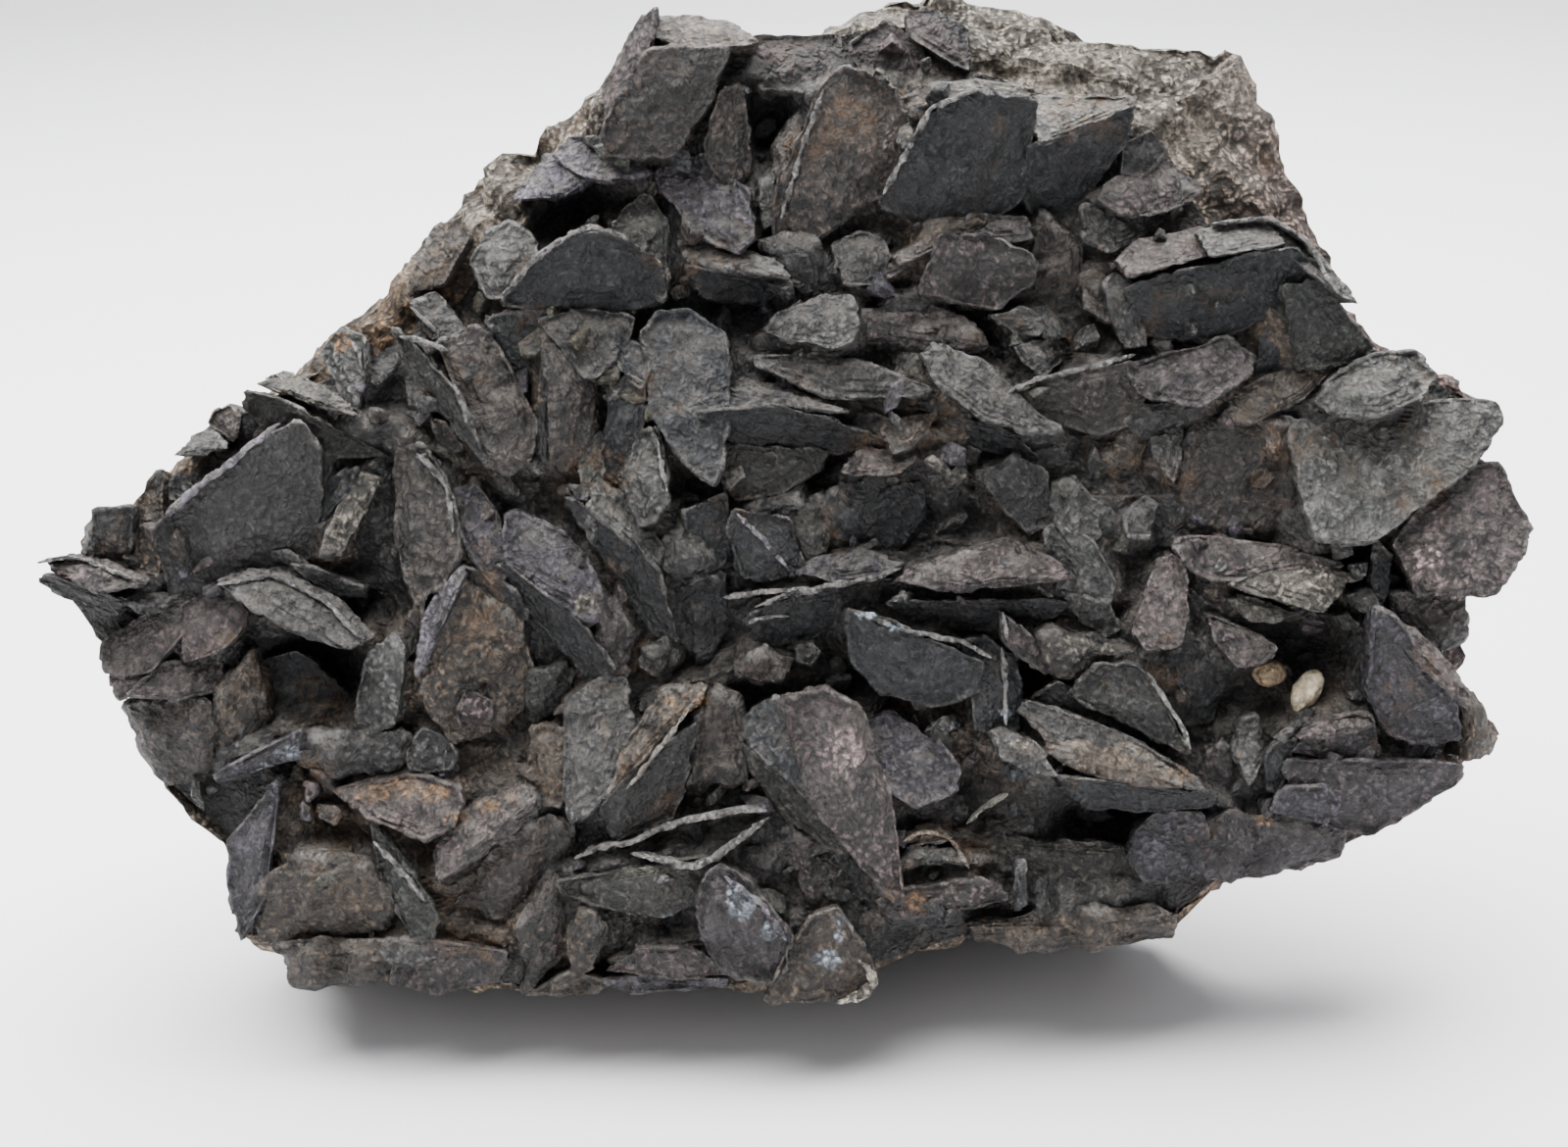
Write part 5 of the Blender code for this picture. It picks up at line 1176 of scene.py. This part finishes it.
def matrix_skin():
    """The rock as a grid of rings: the dish's floor and lip, the rim, and the back's profile, with
    rings added between them. Lumps and flat fractures shape it as the solid is, noise roughens it,
    and its foot is cut off level where it stands."""
    ring = outline_ring(ROCK_AROUND)
    cover = ring[:, 2:3]
    flat = ring[:, :2]

    def level(share, out):
        return np.concatenate([flat * share, np.broadcast_to(out, (len(flat), 1))], axis=1)

    rim = level((1 + cover) / 2, 0)
    lumps = lattice_noise(rim, 15, 3)[:, None] * RIM_LUMPS
    rows = [
        level(0.3 * cover, DISH_OUT), level(cover - DISH_WALL, DISH_OUT), level(cover, LIP_OUT),
        level((1 + cover) / 2, LIP_OUT + lumps), level(1.0, RIM_OUT),
    ]
    fronts = len(rows)
    for share, depth_share, drop_share in BACK_PROFILE:
        row = level(share, 0)
        row[:, 2] = -depth_share * back_depth(row[:, 1])
        row[:, 1] -= drop_share * FOOT_DROP * np.clip(-row[:, 1] / FOOT_REACH, 0, 1)
        rows.append(row)
    rows.append(level(0.03, -BACK_DEPTH * 1.02))
    rows = np.array(rows)
    between = [np.linspace(row, row + 1, rings, endpoint=False)
               for row, rings in enumerate(ROCK_RINGS)]
    between = np.concatenate(between + [[len(rows) - 1]])
    low = np.minimum(between.astype(int), len(rows) - 2)
    part = (between - low)[:, None, None]
    grid = rows[low] * (1 - part) + rows[low + 1] * part
    lumps = lattice_noise(grid, 26, 1) * BACK_LUMPS + lattice_noise(grid, 12, 2) * BACK_LUMPS / 2
    away = grid - ROCK_CENTRE
    away += away / np.linalg.norm(away, axis=2, keepdims=True) * lumps[..., None]
    for (across, up, out), distance in FRACTURES:
        reach = (distance - away[..., 0] * across - away[..., 1] * up) / out
        away[..., 2] = np.maximum(away[..., 2], np.minimum(reach, LEAST_DEPTH))
    behind = smooth_step(fronts - 1.0, fronts + 0.2, between)[:, None, None]
    grid = grid * (1 - behind) + (away + ROCK_CENTRE) * behind
    outwards = grid_normals(grid)
    shown = smooth_step(1.8, 2.4, between)[:, None]
    breaks = sum(smooth_step(-0.06, 0.06, lattice_noise(grid, size, seed))
                 for size, seed in ((10, 76), (6, 77)))
    crumbs = sum(strength * lattice_noise(grid, size, seed)
                 for strength, size, seed in ((1.1, 6, 71), (1.0, 3, 72), (0.6, 1.7, 73)))
    crumbs = crumbs + 1.1 * breaks - 1.8
    grid = grid + outwards * (shown * crumbs)[..., None]
    short = np.clip(-face_to_world(grid)[..., 2] / MM, 0, None)
    grid[..., 1:] += np.stack([short * math.cos(FACE_TILT), short * math.sin(FACE_TILT)], axis=-1)
    warm = smooth_step(-0.2, 0.8, layered_noise(grid, 30, 74))[..., None]
    pink = smooth_step(60, 110, grid[..., 0])[..., None]
    cream = smooth_step(40, 85, grid[..., 1])[..., None] * (1 - 0.6 * pink)
    tint = np.array(ROCK_GREY)
    for share, colour in ((warm, ROCK_WARM), (cream, ROCK_CREAM), (pink, ROCK_PINK)):
        tint = tint * (1 - share) + np.array(colour) * share
    tint = tint * (1 + 0.25 * lattice_noise(grid, 5, 75))[..., None]
    marks = wear_and_shade_marks(grid, 0)
    marks[..., 1] = 0
    return closed_skin(grid, {"tint": tint, "wear_and_shade": marks})


def grain_skin(row, seed):
    """A rounded grain: an ellipsoid as rings from pole to pole, its radius made uneven by noise."""
    middle, radii, turn, tint = row
    polar = np.linspace(0.06, math.pi - 0.06, 40)[:, None]
    around = np.arange(64) * math.pi / 32
    ball = np.stack([np.sin(polar) * np.cos(around), np.sin(polar) * np.sin(around),
                     np.cos(polar) + 0 * around], axis=-1)
    ball *= 1 + 0.12 * lattice_noise(ball, 0.9, 20 + seed)[..., None]
    ball *= 1 + 0.07 * layered_noise(ball, 0.35, 80 + seed)[..., None]
    ball *= radii
    turn = math.radians(turn)
    x = ball[..., 0] * math.cos(turn) + ball[..., 1] * math.sin(turn)
    y = ball[..., 1] * math.cos(turn) - ball[..., 0] * math.sin(turn)
    grid = np.stack([x, y, ball[..., 2]], axis=-1) + middle
    tint = np.array(tint) * (1 + 0.2 * layered_noise(grid, 1.5, 90))[..., None]
    marks = wear_and_shade_marks(grid, 0)
    marks[..., 1] = 0
    return closed_skin(grid, {"tint": tint, "wear_and_shade": marks})


def stone_material(name, speckle, bump_depth, roughness, dust, edge):
    """Stone whose colour comes from the piece's own tint, varied by noise and by small granules,
    with rust, bright edges that are partly worn and partly a painted highlight, dust on faces turned
    up and painted shade down in the hollows. The values are the strength of the speckles, the depth
    of the finest bump in metres, the roughness, and how much dust and how much bright edge there
    is."""
    material = bpy.data.materials.new(name)
    material.use_nodes = True
    tree = material.node_tree
    tree.nodes.clear()
    link = tree.links.new

    def node(kind, **settings):
        made = tree.nodes.new(kind)
        for key, value in settings.items():
            setattr(made, key, value)
        return made

    def noise(scale, detail, rough=0.55, output="Fac"):
        made = node("ShaderNodeTexNoise")
        made.inputs["Scale"].default_value = scale
        made.inputs["Detail"].default_value = detail
        made.inputs["Roughness"].default_value = rough
        link(place.outputs["Object"], made.inputs["Vector"])
        return made.outputs[output]

    def spread(value, low, high, to_low=0.0, to_high=1.0):
        made = node("ShaderNodeMapRange")
        made.interpolation_type = "SMOOTHSTEP"
        made.inputs["From Min"].default_value = low
        made.inputs["From Max"].default_value = high
        made.inputs["To Min"].default_value = to_low
        made.inputs["To Max"].default_value = to_high
        link(value, made.inputs["Value"])
        return made.outputs["Result"]

    def cells(scale, feature, vector):
        made = node("ShaderNodeTexVoronoi", feature=feature)
        made.inputs["Scale"].default_value = scale
        link(vector, made.inputs["Vector"])
        return made.outputs["Distance"]

    def times(one, two):
        made = node("ShaderNodeMath", operation="MULTIPLY")
        link(one, made.inputs[0])
        link(two, made.inputs[1])
        return made.outputs[0]

    def mix(kind, share, one, two):
        made = node("ShaderNodeMix", data_type="RGBA", blend_type=kind)
        for socket, value in ((made.inputs[0], share), (made.inputs[6], one), (made.inputs[7], two)):
            if isinstance(value, (int, float)):
                socket.default_value = value
            elif isinstance(value, tuple):
                socket.default_value = (*value, 1)
            else:
                link(value, socket)
        return made.outputs[2]

    def bump(height, strength, depth, under=None, invert=False):
        made = node("ShaderNodeBump", invert=invert)
        made.inputs["Strength"].default_value = strength
        made.inputs["Distance"].default_value = depth
        link(height, made.inputs["Height"])
        if under is not None:
            link(under, made.inputs["Normal"])
        return made.outputs["Normal"]

    place = node("ShaderNodeTexCoord")
    tint = node("ShaderNodeAttribute", attribute_name="tint").outputs["Color"]
    wear_and_shade = node("ShaderNodeSeparateColor")
    link(node("ShaderNodeAttribute", attribute_name="wear_and_shade").outputs["Color"], wear_and_shade.inputs["Color"])
    worn_and_highlit, hollow_shade, dusty = (wear_and_shade.outputs[part] for part in ("Red", "Green", "Blue"))

    blotches = spread(noise(170, 6, 0.65), 0.32, 0.68, 0.5, 1.55)
    fine = noise(900, 5, 0.7)
    specks = spread(fine, 0.36, 0.64, 1 - speckle, 1 + speckle)
    bent = node("ShaderNodeVectorMath", operation="MULTIPLY_ADD")
    link(noise(260, 4, 0.5, "Color"), bent.inputs[0])
    bent.inputs[1].default_value = (0.004, 0.004, 0.004)
    link(place.outputs["Object"], bent.inputs[2])
    granules = cells(780, "F1", bent.outputs[0])
    between = spread(granules, 0.2, 0.6, 1.5, 1 - 1.2 * speckle)
    cracks = spread(cells(95, "DISTANCE_TO_EDGE", bent.outputs[0]), 0.0, 0.035, 0.3, 1.0)
    colour = mix("MULTIPLY", 1.0, tint, blotches)
    colour = mix("MULTIPLY", 1.0, colour, specks)
    colour = mix("MULTIPLY", spread(noise(75, 4, 0.6), 0.36, 0.56, 0.45, 1.0), colour, between)
    colour = mix("MULTIPLY", spread(noise(48, 3), 0.42, 0.6), colour, cracks)
    rust = times(spread(noise(55, 5, 0.65), 0.56, 0.7), spread(noise(420, 3), 0.35, 0.6))
    rust = times(rust, spread(fine, 0.2, 0.6, 0.2, 0.55))
    # The bright edges are partly wear and partly a painted highlight.
    bright = times(worn_and_highlit, spread(noise(430, 5, 0.65), 0.44, 0.6, 0.0, edge))
    dusted = times(dusty, spread(noise(260, 6, 0.65), 0.4, 0.62, 0.0, dust))
    # Painted shade down in the hollows.
    deep_shade = spread(hollow_shade, 0, 1, 0, HOLLOW_SHADE_SHARE)
    for share, over in ((rust, RUST), (bright, WORN_AND_LIT_EDGE), (dusted, DUST), (deep_shade, HOLLOW_SHADE)):
        colour = mix("MIX", share, colour, over)

    shader = node("ShaderNodeBsdfPrincipled")
    link(colour, shader.inputs["Base Color"])
    uneven = spread(noise(240, 4), 0.3, 0.7, roughness - 0.13, roughness + 0.13)
    link(uneven, shader.inputs["Roughness"])
    relief = bump(noise(520, 5, 0.6), 0.7, bump_depth * 2.2)
    relief = bump(granules, 1.0, bump_depth * 1.3, relief, invert=True)
    link(bump(fine, 1.0, bump_depth, relief), shader.inputs["Normal"])
    output = node("ShaderNodeOutputMaterial")
    link(shader.outputs["BSDF"], output.inputs["Surface"])
    return material


def plain_material(name, colour, roughness):
    """One colour and one roughness all over."""
    material = bpy.data.materials.new(name)
    material.use_nodes = True
    shader = material.node_tree.nodes["Principled BSDF"]
    shader.inputs["Base Color"].default_value = (*colour, 1)
    shader.inputs["Roughness"].default_value = roughness
    return material


def add_sweep(material):
    """The pale floor and the backdrop, as one profile carried sideways: level, then a quarter turn,
    then upright."""
    bend = np.linspace(0, math.pi / 2, 17)
    turn = np.stack([BEND_START + BEND_RADIUS * np.sin(bend), BEND_RADIUS * (1 - np.cos(bend))], 1)
    upright = (BEND_START + BEND_RADIUS, BACKDROP_HEIGHT)
    profile = np.concatenate([[(FLOOR_FRONT, 0.0)], turn, [upright]])
    points = np.array([[(x, y, z) for y, z in profile] for x in (-FLOOR_SIDE, FLOOR_SIDE)])
    count = len(profile)
    faces = [(i, i + count, i + count + 1, i + 1) for i in range(count - 1)]
    mesh = bpy.data.meshes.new("floor")
    mesh.from_pydata(points.reshape(-1, 3).tolist(), [], faces)
    mesh.polygons.foreach_set("use_smooth", [True] * len(faces))
    mesh.materials.append(material)
    floor = bpy.data.objects.new("floor", mesh)
    bpy.context.scene.collection.objects.link(floor)


def add_area(name, place, target, size, power):
    """A rectangular lamp at a place, turned to shine at a target."""
    light = bpy.data.lights.new(name, "AREA")
    light.shape = "RECTANGLE"
    light.size, light.size_y = size
    light.energy = power
    lamp = bpy.data.objects.new(name, light)
    lamp.location = place
    lamp.rotation_euler = (Vector(target) - Vector(place)).to_track_quat("-Z", "Y").to_euler()
    bpy.context.scene.collection.objects.link(lamp)


def add_camera():
    """The camera, at the eye's distance from the face's centre and looking down at it."""
    camera = bpy.data.objects.new("camera", bpy.data.cameras.new("camera"))
    away = Vector((0, -math.cos(LOOK_DOWN), math.sin(LOOK_DOWN)))
    camera.location = FACE_CENTRE + away * VIEW_DISTANCE * MM
    camera.rotation_euler = (math.pi / 2 - LOOK_DOWN, 0, 0)
    camera.data.lens = LENS
    camera.data.sensor_width = SENSOR_WIDTH
    camera.data.clip_start = 0.01
    bpy.context.scene.collection.objects.link(camera)
    bpy.context.scene.camera = camera


def add_world(colour, strength):
    """Even light from all around."""
    world = bpy.data.worlds.new("soft room light")
    world.use_nodes = True
    background = world.node_tree.nodes["Background"]
    background.inputs["Color"].default_value = (*colour, 1)
    background.inputs["Strength"].default_value = strength
    bpy.context.scene.world = world


def add_crystals(name, skins, smooth=True):
    """Adds skins as one piece of the dark crystal side."""
    add_piece(name, join_skins(skins), siderite, "siderite_crystals", smooth)


siderite = stone_material("altered siderite", speckle=0.65, bump_depth=0.0011, roughness=0.48,
                          dust=0.35, edge=0.75)
rock = stone_material("granular rock", speckle=0.65, bump_depth=0.0014, roughness=0.85,
                      dust=0.30, edge=0.3)
quartz = stone_material("pale quartz", speckle=0.20, bump_depth=0.0003, roughness=0.6,
                        dust=0.2, edge=0.3)

# The same crystals, with their corners in millimetres on the face.
crystals = {region: [(*row[:-1], corners_on_face(row[-1], row[0])) for row in rows]
            for region, rows in CRYSTALS.items()}
numbers = itertools.count()
for region, rows in crystals.items():
    add_crystals(f"crystals_{region}", [crystal_skin(row, next(numbers)) for row in rows])
add_crystals("worn_and_highlit_rims", [seam_skin(row, index) for index, row in enumerate(SEAMS)])
add_crystals("crust", [crust_skin()])
add_crystals("small_chips", chip_skins(CHIPS, CHIP_SEED), smooth=False)
add_piece("rock", matrix_skin(), rock, "matrix")
for seed, (name, row) in enumerate(GRAINS.items()):
    add_piece(name.replace("quartz_", ""), grain_skin(row, seed), quartz, name)

add_sweep(plain_material("pale floor", (0.90, 0.90, 0.92), 0.7))
add_camera()
add_world((0.93, 0.95, 1.0), 0.36)
add_area("light above and behind", place=(-0.1, 0.20, 1.0), target=(0, 0, 0.06), size=(1.6, 1.1),
         power=78)
add_area("light in front", place=(-0.5, -0.9, 0.75), target=(0, 0, 0.08), size=(0.9, 0.9), power=1.6)
